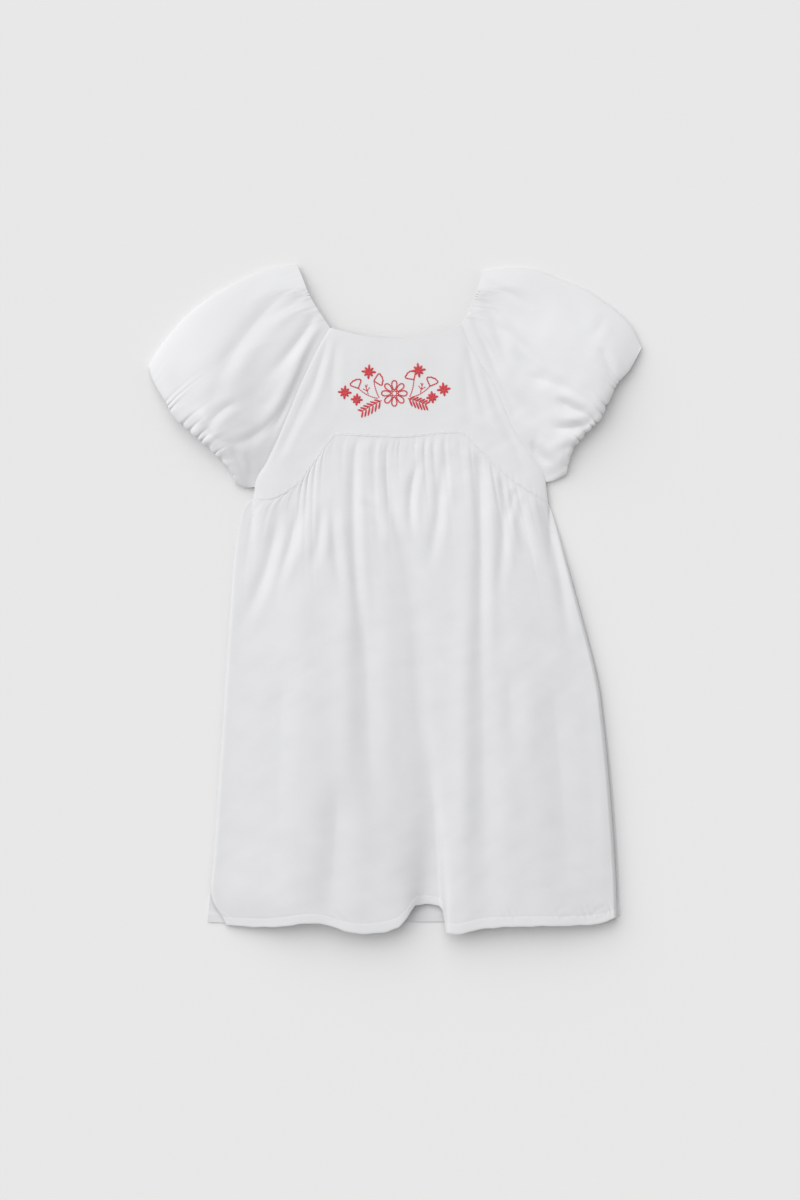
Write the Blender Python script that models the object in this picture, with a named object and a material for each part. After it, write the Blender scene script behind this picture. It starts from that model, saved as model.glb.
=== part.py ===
"""A child's puff sleeve dress in white woven cloth, laid flat on its back.

Six cut pieces: front and back yoke, front and back skirt, and two puff sleeves.
The tables are in millimetres: x to the right and y towards the neck as the dress is
seen from above, z up from the surface it lies on. The meshes are in metres.
"""
import bpy
import numpy as np

MM = 0.001

# Cloth and seams
CLOTH = 1.2                # wall of every piece
SEAM_GAP = 0.3             # clear space between two pieces at a seam
HEM_DEPTH = 9.0            # turned and stitched hem of the front skirt
HEM_EXTRA = 0.6            # how much thicker the turned hem is
NECK_EXTRA = 0.4           # turned edge of the front neckline
REST_HEIGHT = 2 * CLOTH + SEAM_GAP   # top of a front piece where it lies on the back

# Heights of the front above the surface
NECKLINE_RISE = 8.8        # front yoke at the neckline
SEAM_RISE = 8.4            # skirt at the raised waist seam
HEM_RISE = 20.0            # skirt at the hem
SIDE_ROUND = 26.0          # width over which the front rounds down to the side seams
EDGE_ROUND = 8.0           # width of the tight fold at the skirt's own sides
SEAM_SETTLE = 14.0         # below the waist seam the folds reach their depth over this length
YOKE_STEP = 0.7            # the yoke stands this much above the gathered skirt at the seam
SLEEVE_PUFF = 26.0         # top of a sleeve
SIDE_SWELL = 0.5           # how roundly a sleeve parts from its shoulder fold; 1 is a lens
UNDERARM_SWELL = 0.45      # how much more lens-like it is at its underarm fold
# Middle of the skirt, in columns share of its length, height
SKIRT_RISE = ((0.0, SEAM_RISE), (0.2, 13.0), (0.6, 16.5), (1.0, HEM_RISE))
# Middle of the yoke, in columns share of its height, height
YOKE_RISE = ((0.0, NECKLINE_RISE), (0.2, 9.0), (1.0, SEAM_RISE))
# Both sides of the raglan seam, in columns share of the yoke's height, height
RAGLAN_RISE = ((0.0, 7.4), (0.26, 8.5), (0.6, 8.0), (0.76, 6.2), (0.88, 4.6), (1.0, REST_HEIGHT))

# Mesh density
SKIRT_COLUMNS = 56
FOLD_COLUMNS = (0.0, 0.485, 0.552, 1.0)   # shares across where the front's columns lie closer
SKIRT_LENGTH = 426.0
# Rows of the front skirt below the waist seam. The gathered ones have twice the columns.
GATHERED_ROWS = (0.0, 3.0, 9.0, 18.0, 31.0)
SKIRT_ROWS = (48.0, 72.0, 102.0, 136.0, 172.0, 208.0, 244.0, 280.0, 314.0, 345.0, 372.0, 394.0,
              SKIRT_LENGTH - HEM_DEPTH - 1.0, SKIRT_LENGTH - HEM_DEPTH, SKIRT_LENGTH)
BACK_COLUMNS = 20
BACK_ROWS = 10
NECK_STEPS = 10            # steps along a sleeve's free neck edge
# Rows of the yoke down to the underarm, and then down the side seam, as shares of its height.
# Both yokes and the sleeves use them, so their edges along the raglan seam run parallel.
RAGLAN_ROWS = (0.0, 0.03, 0.08, 0.15, 0.23, 0.32, 0.41, 0.50, 0.59, 0.68, 0.76, 0.83, 0.88)
UNDERARM_ROWS = (0.94, 1.0)
NECK_SHARE = 0.3           # share of a sleeve's inner edge that is free neck edge

# Outline of the yoke and skirt, in columns x, y
NECKLINE = ((-65, 271), (-53, 268), (-32, 263), (-5, 260.4), (12, 261), (39, 265), (67, 274))
WAIST_SEAM = ((-142, 100), (-121, 101), (-98, 115), (-78, 141), (-63, 161), (-48, 164.3),
              (6, 162), (60, 166), (78, 156), (112, 123), (154, 95.5))
SIDE_LEFT = ((-142, 100), (-152, 85), (-160, 42), (-165, -21), (-180, -241), (-184, -294),
             (-171, -321), (-169, -326))
SIDE_RIGHT = ((154, 95.5), (165, 61), (180, 7), (201, -74), (208, -121), (215, -193),
              (220, -265), (222, -318))
HEM = ((-169, -326), (-125, -327.5), (-78, -323.4), (-50, -331), (-28, -334), (-2, -331),
       (30, -329), (62, -334), (90, -328.5), (130, -326.5), (195, -325), (222, -318))
BACK_SIDE_LEFT = ((-142, 100), (-152, 85), (-160, 42), (-165, -21), (-180, -241), (-187.5, -323))
BACK_SIDE_RIGHT = ((154, 95.5), (165, 61), (181, 7), (203, -74), (210, -121), (218, -193),
                   (223, -265), (225, -316))
BACK_HEM = ((-187.5, -323), (-120, -325), (30, -322.5), (150, -323), (225, -316))

# Raglan seams from the neck to the underarm, and the short side seams below them
RAGLAN_LEFT = ((-65, 271), (-74, 257), (-91, 223), (-105, 190), (-116, 164), (-128, 137), (-136, 124),
               (-140, 112))
RAGLAN_RIGHT = ((67, 274), (74, 257), (85, 237), (101, 210), (121, 165), (136, 144), (146, 130),
                (151, 117))
UNDERARM_LEFT = ((-140, 112), (-142, 100))
UNDERARM_RIGHT = ((151, 117), (154, 95.5))

# The deep fold down the middle of the skirt, in columns y, centre x, half width, depth, sharpness
CENTRE_FOLD = ((140, -10, 4, 1.2, 2.0), (95, -7, 5, 2.2, 2.0), (40, 6, 8, 3.5, 2.0),
               (-60, 15, 10, 6.5, 2.4), (-150, 22, 12, 10.0, 3.0), (-240, 31, 14, 13.5, 4.5),
               (-330, 34, 15, 14.5, 7.0))
# The hem rises where the cloth dives into that fold, in columns x, rise
HEM_NOTCH = ((-8, 0), (4, 3), (12, 11), (20, 23), (30, 24.5), (44, 24.5), (47.5, 21), (51, 0))
NOTCH_REACH = 60.0         # length of skirt over which the notch fades out

# Folds as soft troughs, in columns start x, y, middle x, y, end x, y, depth, width.
# A negative depth is a ridge.
SKIRT_FOLDS = (
    (-121, 83, -131, 35, -153, -18, 2.6, 6), (-100, 90, -106, 62, -123, 11, 2.2, 5),
    (-76, 93, -79, 60, -85, 32, 2.0, 5), (-65, 93, -62, 50, -55, 7, 2.0, 5),
    (-47, 149, -46, 60, -38, -47, 3.6, 5), (-40, 7, -35, -110, -31, -235, 3.0, 12),
    (-33, 97, -22, 86, -13, 61, 1.6, 5), (19, 133, 14, 104, 16, 61, 2.2, 4),
    (44, 133, 41, 90, 32, 36, 2.2, 5), (79, 151, 81, 43, 79, -83, 4.0, 6),
    (80, -60, 81, -190, 84, -322, 2.6, 13), (104, 124, 106, 70, 100, 7, 2.2, 5),
    (117, 110, 114, 95, 111, 79, 1.8, 4), (120, 97, 128, 60, 138, 36, 2.6, 6),
    (144, 97, 159, 42, 172, -40, 3.2, 6), (109, -73, 111, -120, 114, -169, 1.6, 10),
    (-64, -190, -70, -260, -76, -330, 4.5, 13), (-120, -60, -124, -180, -128, -300, 2.0, 18),
    (150, -90, 160, -200, 166, -310, 2.4, 16), (-54, 23, -54, -90, -54, -217, -1.8, 12),
    (65, 39, 64, -150, 63, -330, -2.2, 11), (196, -80, 204, -190, 206, -300, -1.6, 9))
YOKE_FOLDS = (
    (-75, 246, -80, 205, -93, 140, 1.5, 6), (-95, 161, -84, 160, -73, 160, 1.2, 4),
    (79, 259, 81, 215, 77, 175, 1.5, 6), (-40, 250, -44, 215, -42, 175, 0.7, 8),
    (40, 250, 46, 215, 44, 175, 0.7, 8), (112, 170, 122, 148, 134, 118, 1.2, 6))
GATHER_COUNT = 28          # gathers along the waist seam
GATHER_DEPTH = 1.1
GATHER_REACH = 36.0

# Sleeve outlines. neck: free edge from the shoulder fold to the raglan seam. top: shoulder fold
# to the outermost tip. lower: underarm to the lower tip. cuff: outermost tip to the lower tip.
LEFT_SLEEVE = {
    "neck": ((-98, 334), (-94, 325), (-87, 307), (-79, 292), (-65, 271)),
    "raglan": RAGLAN_LEFT,
    "top": ((-98, 334), (-130, 329), (-166, 313), (-196, 294), (-219, 272), (-237, 249), (-246.5, 233)),
    "lower": ((-140, 112), (-146, 111.5), (-153, 112), (-159, 115)),
    "cuff": ((-246.5, 233), (-241, 217), (-230, 199), (-219, 181), (-191, 156), (-166, 131), (-159, 115)),
    "inward": (0.62, 0.78),
    "folds": (
        (-98, 329, -107, 326, -116, 324, 1.3, 4), (-106, 316, -147, 276, -188, 198, 4.6, 9),
        (-86, 309, -108, 296, -132, 279, 1.8, 5), (-78, 292, -100, 259, -132, 222, 2.6, 6),
        (-69, 279, -106, 210, -166, 141, 2.8, 6), (-158, 202, -182, 184, -197, 162, 2.2, 7),
        (-224, 226, -212, 200, -194, 178, 2.4, 10), (-188, 172, -174, 164, -158, 158, -2.2, 9),
        (-180, 140, -166, 146, -152, 154, 1.8, 5), (-160, 120, -152, 134, -146, 146, 1.6, 5))}
RIGHT_SLEEVE = {
    "neck": ((88, 328), (80, 301), (76, 292), (67, 274)),
    "raglan": RAGLAN_RIGHT,
    "top": ((88, 328), (117, 331), (139, 329), (164, 319), (190, 308), (217, 290), (235, 273), (246.5, 251)),
    "lower": ((151, 117), (157, 118), (164, 120.5), (171, 124)),
    "cuff": ((246.5, 251), (235, 230), (222, 215), (211, 194), (206, 182), (192, 167), (177, 148),
             (171, 124)),
    "inward": (-0.74, 0.62),
    "folds": (
        (88, 319, 114, 306, 140, 290, 2.2, 6), (81, 308, 86, 301, 92, 294, 1.4, 4),
        (75, 284, 80, 282, 90, 278, 1.4, 4), (90, 290, 102, 264, 113, 230, 2.0, 6),
        (98, 280, 125, 256, 146, 234, 2.4, 7), (130, 226, 160, 216, 186, 204, 1.8, 7),
        (160, 317, 181, 287, 198, 258, 3.0, 9), (208, 284, 200, 272, 190, 258, 1.6, 7),
        (200, 252, 211, 235, 218, 220, 2.0, 7), (166, 198, 182, 189, 198, 180, 2.0, 7),
        (162, 168, 178, 176, 196, 182, 2.6, 8), (134, 162, 151, 147, 170, 138, 2.2, 7),
        (150, 124, 162, 132, 176, 142, 1.8, 6), (156, 168, 172, 160, 186, 160, -1.8, 9))}

# Rings of a sleeve from the seam to the cuff, in columns share of the way, tuck inwards,
# pinch of the width, height of the front, height of the back. The last three turn back inside.
SLEEVE_RINGS = (
    (0.0, 0, 1.0, 0.0, 0), (0.03, 0, 1.0, 0.08, 0), (0.09, 0, 1.0, 0.21, 0), (0.17, 0, 1.0, 0.38, 0),
    (0.27, 0, 1.0, 0.58, 0), (0.38, 0, 1.0, 0.77, 0), (0.50, 0, 1.0, 0.92, 0), (0.62, 0, 1.0, 0.99, 0),
    (0.73, 0, 1.0, 1.0, 0), (0.83, 0, 1.0, 0.97, 0), (0.91, 0, 1.0, 0.89, 0), (0.97, 0, 1.0, 0.75, 0.6),
    (1.0, 0, 1.0, 0.58, 2.0), (1.0, 3.0, 0.97, 0.46, 3.7), (1.0, 9.0, 0.84, 0.44, 4.4),
    (1.0, 17.0, 0.62, 0.45, 4.4))
NECK_RISE = 9.0            # top of the open front edge of a sleeve at the neck
NECK_SETTLE = 0.4          # share of a sleeve over which the height of its seam fades out
BACK_NECK_DROP = 3.0       # the back neckline lies this much lower in the middle
SIDE_FOLD = 4.6            # height of the fold along a sleeve's two sides
FOLD_ROUND = 7.0           # how far from those sides the back has come down to the surface


def smooth_line(points, stations):
    """Points at shares of the length of a Catmull-Rom curve through a table of x, y."""
    knots = np.array(points, float)
    if len(knots) == 2:
        return knots[0] + np.outer(stations, knots[1] - knots[0])
    padded = np.vstack([2 * knots[0] - knots[1], knots, 2 * knots[-1] - knots[-2]])
    t = np.linspace(0, 1, 16, endpoint=False)[None, :, None]
    a, b, c, d = (padded[i:len(padded) - 3 + i, None, :] for i in range(4))
    dense = 0.5 * (2 * b + (c - a) * t + (2 * a - 5 * b + 4 * c - d) * t ** 2
                   + (3 * b - a - 3 * c + d) * t ** 3)
    dense = np.vstack([dense.reshape(-1, 2), knots[-1]])
    length = np.append(0, np.cumsum(np.linalg.norm(np.diff(dense, axis=0), axis=1)))
    wanted = np.asarray(stations) * length[-1]
    return np.column_stack([np.interp(wanted, length, dense[:, i]) for i in (0, 1)])


def joined_line(first, second, stations, corner):
    """Two curves end to end, the first up to the share called corner."""
    stations = np.asarray(stations)
    before = smooth_line(first, np.clip(stations / corner, 0, 1))
    after = smooth_line(second, np.clip((stations - corner) / (1 - corner), 0, 1))
    return np.where((stations < corner)[:, None], before, after)


def level_side(line):
    """Unit level vectors to the left of a curve's own direction."""
    along = np.gradient(np.asarray(line)[:, :2], axis=0)
    along /= np.linalg.norm(along, axis=1)[:, None]
    return np.column_stack([-along[:, 1], along[:, 0], np.zeros(len(along))])


def blend_edges(first, last, left, right, u, v):
    """Sheet of points between four edge curves: both blends added, the corners' blend taken off.

    first and last run across at the start and end, left and right run down the two sides,
    u holds the shares across and v the shares down. The side curves bend to meet the corners.
    """
    shares = v[:, 0, :]
    left = left + (1 - shares) * (first[0] - left[0]) + shares * (last[0] - left[-1])
    right = right + (1 - shares) * (first[-1] - right[0]) + shares * (last[-1] - right[-1])
    across = (1 - v) * first[None] + v * last[None]
    down = (1 - u) * left[:, None] + u * right[:, None]
    corners = (1 - v) * ((1 - u) * first[0] + u * first[-1]) + v * ((1 - u) * last[0] + u * last[-1])
    return across + down - corners


def smooth_step(value, start, end):
    """0 before start, 1 after end and an even slope between."""
    t = np.clip((value - start) / (end - start), 0, 1)
    return t * t * (3 - 2 * t)


def quarter_round(distance, radius):
    """Height share of a quarter circle that rises from an edge and is level after one radius."""
    t = np.clip(distance / radius, 0, 1)
    return np.sqrt(1 - (1 - t) ** 2)


def folded_side(distance):
    """Height share of the front skirt from its side: round over the fold, then a long easy rise."""
    return 0.6 * quarter_round(distance, EDGE_ROUND) + 0.4 * smooth_step(distance, 0.0, 3.5 * SIDE_ROUND)


def fold_relief(x, y, folds):
    """Height of all the folds of a table at plan points x, y.

    Each fold is a bent bell: along its chord it fades in and out, across it is a Gaussian
    about a parabola through the fold's middle point.
    """
    total = np.zeros_like(x)
    for x0, y0, xm, ym, x1, y1, depth, width in folds:
        length = np.hypot(x1 - x0, y1 - y0)
        ax, ay = (x1 - x0) / length, (y1 - y0) / length
        share = ((x - x0) * ax + (y - y0) * ay) / length
        side = (y - y0) * ax - (x - x0) * ay
        middle = np.clip(((xm - x0) * ax + (ym - y0) * ay) / length, 0.2, 0.8)
        bow = ((ym - y0) * ax - (xm - x0) * ay) / (middle * (1 - middle))
        inside = np.clip(share, 0, 1)
        offset = side - bow * inside * (1 - inside)
        fade = smooth_step(share, -0.12, 0.25) * (1 - smooth_step(share, 0.55, 1.15))
        total -= depth * fade * np.exp(-(offset / width) ** 2)
    return total


def clustered(count, places, spread, weight):
    """Shares from 0 to 1, closer together near the given places."""
    fine = np.linspace(0, 1, 2001)
    density = 1 + sum(weight * np.exp(-((fine - place) / spread) ** 2) for place in places)
    total = np.append(0, np.cumsum((density[1:] + density[:-1]) / 2))
    return np.interp(np.linspace(0, total[-1], count + 1), total, fine)


def between(row):
    """A row of points or shares with the middle of each step added."""
    middle = (row[:-1] + row[1:]) / 2
    fine = np.empty((len(row) + len(middle),) + row.shape[1:])
    fine[0::2] = row
    fine[1::2] = middle
    return fine


def cloth_material(name, colour, roughness):
    """Plain woven cloth."""
    material = bpy.data.materials.new(name)
    material.use_nodes = True
    shader = material.node_tree.nodes["Principled BSDF"]
    shader.inputs["Base Color"].default_value = (*colour, 1.0)
    shader.inputs["Roughness"].default_value = roughness
    shader.inputs["Metallic"].default_value = 0.0
    return material


def row_faces(above, below):
    """Faces between two rows of point numbers; where one row has twice the steps, triangles."""
    if len(above) == len(below):
        return [(above[i], below[i], below[i + 1], above[i + 1]) for i in range(len(below) - 1)]
    faces = []
    fine, coarse = (above, below) if len(above) > len(below) else (below, above)
    for i in range(len(coarse) - 1):
        left, middle, right = fine[2 * i:2 * i + 3]
        here, there = coarse[i:i + 2]
        faces += [(left, here, middle), (middle, here, there), (middle, there, right)]
    return faces if fine is above else [face[::-1] for face in faces]


def point_normals(points, faces):
    """Unit normal at each point, from the faces round it weighted by area."""
    normals = np.zeros_like(points)
    for corners in (3, 4):
        group = np.array([face for face in faces if len(face) == corners])
        if not len(group):
            continue
        first = points[group[:, 2]] - points[group[:, 0]]
        second = points[group[:, -1]] - points[group[:, 1]]
        facing = np.cross(first, second)
        for corner in range(corners):
            np.add.at(normals, group[:, corner], facing)
    return normals / np.linalg.norm(normals, axis=1)[:, None]


def cloth_object(name, points, faces, edges, thickness, material):
    """Give a sheet its wall and make it an object.

    points face outwards and the inner wall lies one thickness behind them. edges holds a row
    for each opening: a closed ring of point numbers, the level direction across the edge at
    each, and whether the point is sewn to another piece. On an edge the wall keeps to the
    edge's own line, and at a sewn point it goes straight down, so it can't lean over a seam.
    """
    behind = point_normals(points, faces)
    for ring, across, sewn in edges:
        level = behind[ring] - np.sum(behind[ring] * across, axis=1)[:, None] * across
        level[sewn, :2] = 0
        behind[ring] = level / np.linalg.norm(level, axis=1)[:, None]
    inner = points - behind * np.reshape(thickness, (-1, 1))
    count = len(points)
    solid = list(faces) + [tuple(i + count for i in reversed(face)) for face in faces]
    for ring, _, _ in edges:
        for here, there in zip(ring, np.roll(ring, -1)):
            solid.append((there, here, here + count, there + count))
    mesh = bpy.data.meshes.new(name)
    mesh.from_pydata((np.vstack([points, inner]) * MM).tolist(), [], [tuple(map(int, f)) for f in solid])
    mesh.validate()
    mesh.shade_smooth()
    mesh.set_sharp_from_angle(angle=1.0)
    mesh.materials.append(material)
    made = bpy.data.objects.new(name, mesh)
    bpy.context.collection.objects.link(made)
    print(name, len(solid), "faces")
    return made


def sheet_object(name, rows, thickness_rows, free, material):
    """An object from rows of points, first row first, each row from left to right.

    free is the number of the row that is a free edge; the other edges are sewn.
    """
    numbers, start = [], 0
    for row in rows:
        numbers.append(np.arange(start, start + len(row)))
        start += len(row)
    faces = [face for above, below in zip(numbers, numbers[1:]) for face in row_faces(above, below)]
    right = [row[-1] for row in numbers[1:-1]]
    left = [row[0] for row in numbers[1:-1]]
    points = np.vstack(rows)
    across = np.zeros_like(points)
    for line in (numbers[0], numbers[-1], [numbers[0][0], *left, numbers[-1][0]],
                 [numbers[0][-1], *right, numbers[-1][-1]]):
        across[line] = level_side(points[line])
    ring = np.array([*numbers[0][::-1], *left, *numbers[-1], *right[::-1]])
    sewn = ~np.isin(ring, numbers[free][1:-1])
    thickness = np.concatenate([np.broadcast_to(t, len(row)) for t, row in zip(thickness_rows, rows)])
    return cloth_object(name, points, faces, [(ring, across[ring], sewn)], thickness, material)


def skirt_columns():
    """Shares across at which the front's columns lie, closer at the sides and the middle fold."""
    return clustered(SKIRT_COLUMNS, FOLD_COLUMNS, 0.018, 2.6)


def waist_line(u):
    """Top edge of a skirt piece: the waist seam, one seam gap below the yoke."""
    seam = smooth_line(WAIST_SEAM, u)
    return seam - SEAM_GAP * level_side(seam)[:, :2]


def waist_height(x):
    """Top of the front skirt along the raised waist seam: level, rounding down at both sides."""
    from_side = np.minimum(x - WAIST_SEAM[0][0], WAIST_SEAM[-1][0] - x)
    return REST_HEIGHT + (SEAM_RISE - REST_HEIGHT) * quarter_round(from_side, SIDE_ROUND)


def gathers(u, fall):
    """Ripples below the waist seam: a cosine with a wandering phase, each fading at its own length."""
    phase = GATHER_COUNT * u + 0.22 * np.sin(20.7 * u + 0.7) + 0.12 * np.sin(49.6 * u + 2.1)
    reach = GATHER_REACH * (1 + 0.45 * np.sin(29.5 * u + 1.3) + 0.25 * np.sin(57.2 * u))
    depth = GATHER_DEPTH * (0.8 + 0.2 * np.sin(33.3 * u + 0.4)) * (0.5 + 0.5 * smooth_step(fall, 0, 10))
    edge = smooth_step(np.minimum(u, 1 - u), 0.01, 0.06)
    return depth * edge * np.cos(2 * np.pi * phase) * np.exp(-(fall / reach) ** 2)


def centre_fold(x, y):
    """Depth of the middle fold: a flat-bottomed trough that widens and sharpens to the hem."""
    table = np.array(CENTRE_FOLD[::-1], float)
    centre, half, depth, sharp = (np.interp(y, table[:, 0], table[:, i]) for i in range(1, 5))
    fade = 1 - smooth_step(y, 120, 150)
    return depth * fade / (1 + (np.abs(x - centre) / half) ** (2 * sharp))


def skirt_front(material):
    """Front skirt: a fan of columns from the waist seam to the hem, raised by height functions."""
    coarse = skirt_columns()
    shares = np.array(GATHERED_ROWS + SKIRT_ROWS) / SKIRT_LENGTH
    plan = blend_edges(waist_line(coarse), smooth_line(HEM, coarse), smooth_line(SIDE_LEFT, shares),
                       smooth_line(SIDE_RIGHT, shares), coarse[None, :, None], shares[:, None, None])
    notch = np.array(HEM_NOTCH, float)
    rows, thickness = [], []
    for number, (share, line) in enumerate(zip(shares, plan)):
        u = coarse
        if number < len(GATHERED_ROWS):
            line, u = between(line), between(coarse)
        x, y = line[:, 0], line[:, 1]
        fall = share * SKIRT_LENGTH
        rise = np.interp(x, notch[:, 0], notch[:, 1])
        y = y + rise * smooth_step(fall, SKIRT_LENGTH - NOTCH_REACH, SKIRT_LENGTH)
        below_seam = smooth_step(share, 0.0, SKIRT_RISE[1][0])
        from_side = np.minimum(u, 1 - u) * (line[-1, 0] - line[0, 0])
        level = np.interp(share, *zip(*SKIRT_RISE))
        body = REST_HEIGHT + (level - REST_HEIGHT) * folded_side(from_side)
        z = waist_height(x) * (1 - below_seam) + body * below_seam
        inside = quarter_round(from_side, SIDE_ROUND) * smooth_step(fall, 0, SEAM_SETTLE)
        z = z + inside * (fold_relief(x, y, SKIRT_FOLDS) - centre_fold(x, y)) + gathers(u, fall)
        turned = HEM_EXTRA if fall >= SKIRT_LENGTH - HEM_DEPTH else 0.0
        rows.append(np.column_stack([x, y, np.maximum(z, REST_HEIGHT) + turned]))
        thickness.append(CLOTH + turned)
    return sheet_object("skirt_front", rows, thickness, -1, material)


def yoke_sides(stations):
    """Left and right edge of a yoke at shares of its height: raglan seam, then side seam."""
    left = joined_line(RAGLAN_LEFT, UNDERARM_LEFT, stations, RAGLAN_ROWS[-1])
    right = joined_line(RAGLAN_RIGHT, UNDERARM_RIGHT, stations, RAGLAN_ROWS[-1])
    return left, right


def yoke_rows():
    """Shares of a yoke's height at which its rows lie."""
    return np.array(RAGLAN_ROWS + UNDERARM_ROWS)


def sleeve_seam(shape):
    """Inner edge of a sleeve and the shares along it: free neck edge, then the raglan seam.

    Along the raglan seam the points are those of the yoke's rows and the middles between them.
    The level directions across the edge are worked out for each stretch on its own.
    """
    rows = np.array(RAGLAN_ROWS) / RAGLAN_ROWS[-1]
    raglan = between(smooth_line(shape["raglan"], rows))
    neck_shares = np.linspace(0, 1, NECK_STEPS + 1)[:-1]
    neck = smooth_line(shape["neck"], neck_shares)
    shares = np.append(NECK_SHARE * neck_shares, NECK_SHARE + (1 - NECK_SHARE) * between(rows))
    across = np.vstack([level_side(neck), level_side(raglan)])
    return np.vstack([neck, raglan]), shares, across


def yoke_front(material):
    """Front yoke: nearly flat, lower at the neckline and down on the back at the underarms."""
    columns = skirt_columns()
    v = yoke_rows()
    left, right = yoke_sides(v)
    plan = blend_edges(smooth_line(NECKLINE, columns), smooth_line(WAIST_SEAM, columns), left, right,
                       columns[None, :, None], v[:, None, None])
    rows = []
    for share, line in zip(v, plan):
        step = 1 if share == 1 else 2
        line, u = line[::step], columns[::step]
        x, y = line[:, 0], line[:, 1]
        edge = np.interp(share, *zip(*RAGLAN_RISE))
        middle = np.interp(share, *zip(*YOKE_RISE))
        inside = quarter_round(np.minimum(u, 1 - u) * (line[-1, 0] - line[0, 0]), SIDE_ROUND)
        folds = fold_relief(x, y, YOKE_FOLDS) * (1 - smooth_step(share, 0.85, 1))
        z = edge + (middle - edge + folds) * inside
        to_seam = smooth_step(share, 0.8, 1.0)
        z = z * (1 - to_seam) + (waist_height(x) + YOKE_STEP * inside) * to_seam
        rows.append(np.column_stack([x, y, np.maximum(z, REST_HEIGHT)]))
    thickness = [CLOTH + NECK_EXTRA, CLOTH + NECK_EXTRA] + [CLOTH] * (len(v) - 2)
    return sheet_object("yoke_front", rows, thickness, 0, material)


def flat_back(name, first, last, sides, v, material):
    """A back piece: plain cloth flat on the surface, its underside at height 0."""
    u = np.linspace(0, 1, BACK_COLUMNS + 1)
    left, right = sides(v)
    plan = blend_edges(first(u), last(u), left, right, u[None, :, None], v[:, None, None])
    rows = [np.column_stack([line, np.full(len(line), CLOTH)]) for line in plan]
    return sheet_object(name, rows, [CLOTH] * len(rows), -1, material)


def skirt_back(material):
    """Back skirt: as wide as the front, with its lower corners just past the front's edges."""
    return flat_back("skirt_back", waist_line, lambda u: smooth_line(BACK_HEM, u),
                     lambda v: (smooth_line(BACK_SIDE_LEFT, v), smooth_line(BACK_SIDE_RIGHT, v)),
                     np.linspace(0, 1, BACK_ROWS), material)


def yoke_back(material):
    """Back yoke: the front's outline with its neckline a little lower."""
    def first(u):
        neck = smooth_line(NECKLINE, u)
        neck[:, 1] -= BACK_NECK_DROP * 4 * u * (1 - u)
        return neck
    return flat_back("yoke_back", first, lambda u: smooth_line(WAIST_SEAM, u),
                     yoke_sides, yoke_rows(), material)


def sleeve(name, shape, side, material):
    """Puff sleeve: closed rings from the neck and raglan edge over the puff to the turned-in cuff.

    side is -1 on the left and 1 on the right. On each ring the front runs from the shoulder
    fold to the underarm fold, and the back returns along the surface.
    """
    inner, front_a, seam_side = sleeve_seam(shape)
    fold = len(front_a) - 1
    back = np.arange(fold - 2, 0, -2)
    a = np.concatenate([front_a, front_a[back]])
    is_front = np.arange(len(a)) <= fold
    rings = np.array(SLEEVE_RINGS, float)
    shares = rings[:, 0]
    inner = inner + side * SEAM_GAP * seam_side[:, :2]
    seam_side = np.vstack([seam_side, seam_side[back]])
    sewn = (a > NECK_SHARE) & (a < 1)
    plans = blend_edges(inner, smooth_line(shape["cuff"], front_a), smooth_line(shape["top"], shares),
                        smooth_line(shape["lower"], shares), front_a[None, :, None], shares[:, None, None])
    plans = np.concatenate([plans, plans[:, back]], axis=1)
    dome = np.sin(np.pi * a).clip(0, 1) ** (SIDE_SWELL + UNDERARM_SWELL * smooth_step(a, 0.45, 0.95))
    down_yoke, rise = np.array(RAGLAN_RISE[:-1]).T
    places = np.append([0.0, 0.03], NECK_SHARE + (1 - NECK_SHARE) * down_yoke / RAGLAN_ROWS[-1])
    opening = np.interp(a, places, np.append([SIDE_FOLD, NECK_RISE], rise)) - SIDE_FOLD
    rows = []
    for (share, tuck, pinch, high, low), plan in zip(rings, plans):
        centre = plan[:fold + 1].mean(axis=0)
        plan = centre + (plan - centre) * pinch + tuck * np.array(shape["inward"])
        chord = np.linalg.norm(plan[fold] - plan[0])
        front = SIDE_FOLD + (SLEEVE_PUFF - SIDE_FOLD) * high * dome
        front += opening * (1 - smooth_step(share, 0.0, NECK_SETTLE))
        window = dome * smooth_step(share, 0.0, 0.08) * (1 - smooth_step(share, 0.93, 1.0))
        front += fold_relief(plan[:, 0], plan[:, 1], shape["folds"]) * window
        to_side = np.minimum(a, 1 - a) * chord
        back = low + (SIDE_FOLD - low) * (1 - quarter_round(to_side, FOLD_ROUND))
        rows.append(np.column_stack([plan, np.where(is_front, front, back)]))
    count = len(a)
    faces = []
    for i in range(len(rows) - 1):
        for j in range(count):
            k = (j + 1) % count
            face = (i * count + j, i * count + k, (i + 1) * count + k, (i + 1) * count + j)
            faces.append(face if side > 0 else face[::-1])
    first = np.arange(count)
    last = first + (len(rows) - 1) * count
    cuff_side = np.tile([*shape["inward"], 0.0], (count, 1)) / np.linalg.norm(shape["inward"])
    edges = [(first, seam_side, sewn), (last[::-1], cuff_side, np.zeros(count, bool))]
    if side < 0:
        edges = [(ring[::-1], across[::-1], held[::-1]) for ring, across, held in edges]
    return cloth_object(name, np.vstack(rows), faces, edges, CLOTH, material)


def main():
    """Empty the scene, then make the six pieces."""
    for old in list(bpy.data.objects):
        bpy.data.objects.remove(old)
    white = (0.80, 0.79, 0.80)
    yoke_front(cloth_material("front_yoke_cloth", white, 0.8))
    yoke_back(cloth_material("back_yoke_cloth", white, 0.8))
    skirt_front(cloth_material("front_skirt_cloth", white, 0.8))
    skirt_back(cloth_material("back_skirt_cloth", white, 0.8))
    sleeve("sleeve_left", LEFT_SLEEVE, -1, cloth_material("left_sleeve_cloth", white, 0.8))
    sleeve("sleeve_right", RIGHT_SLEEVE, 1, cloth_material("right_sleeve_cloth", white, 0.8))


main()
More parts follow.
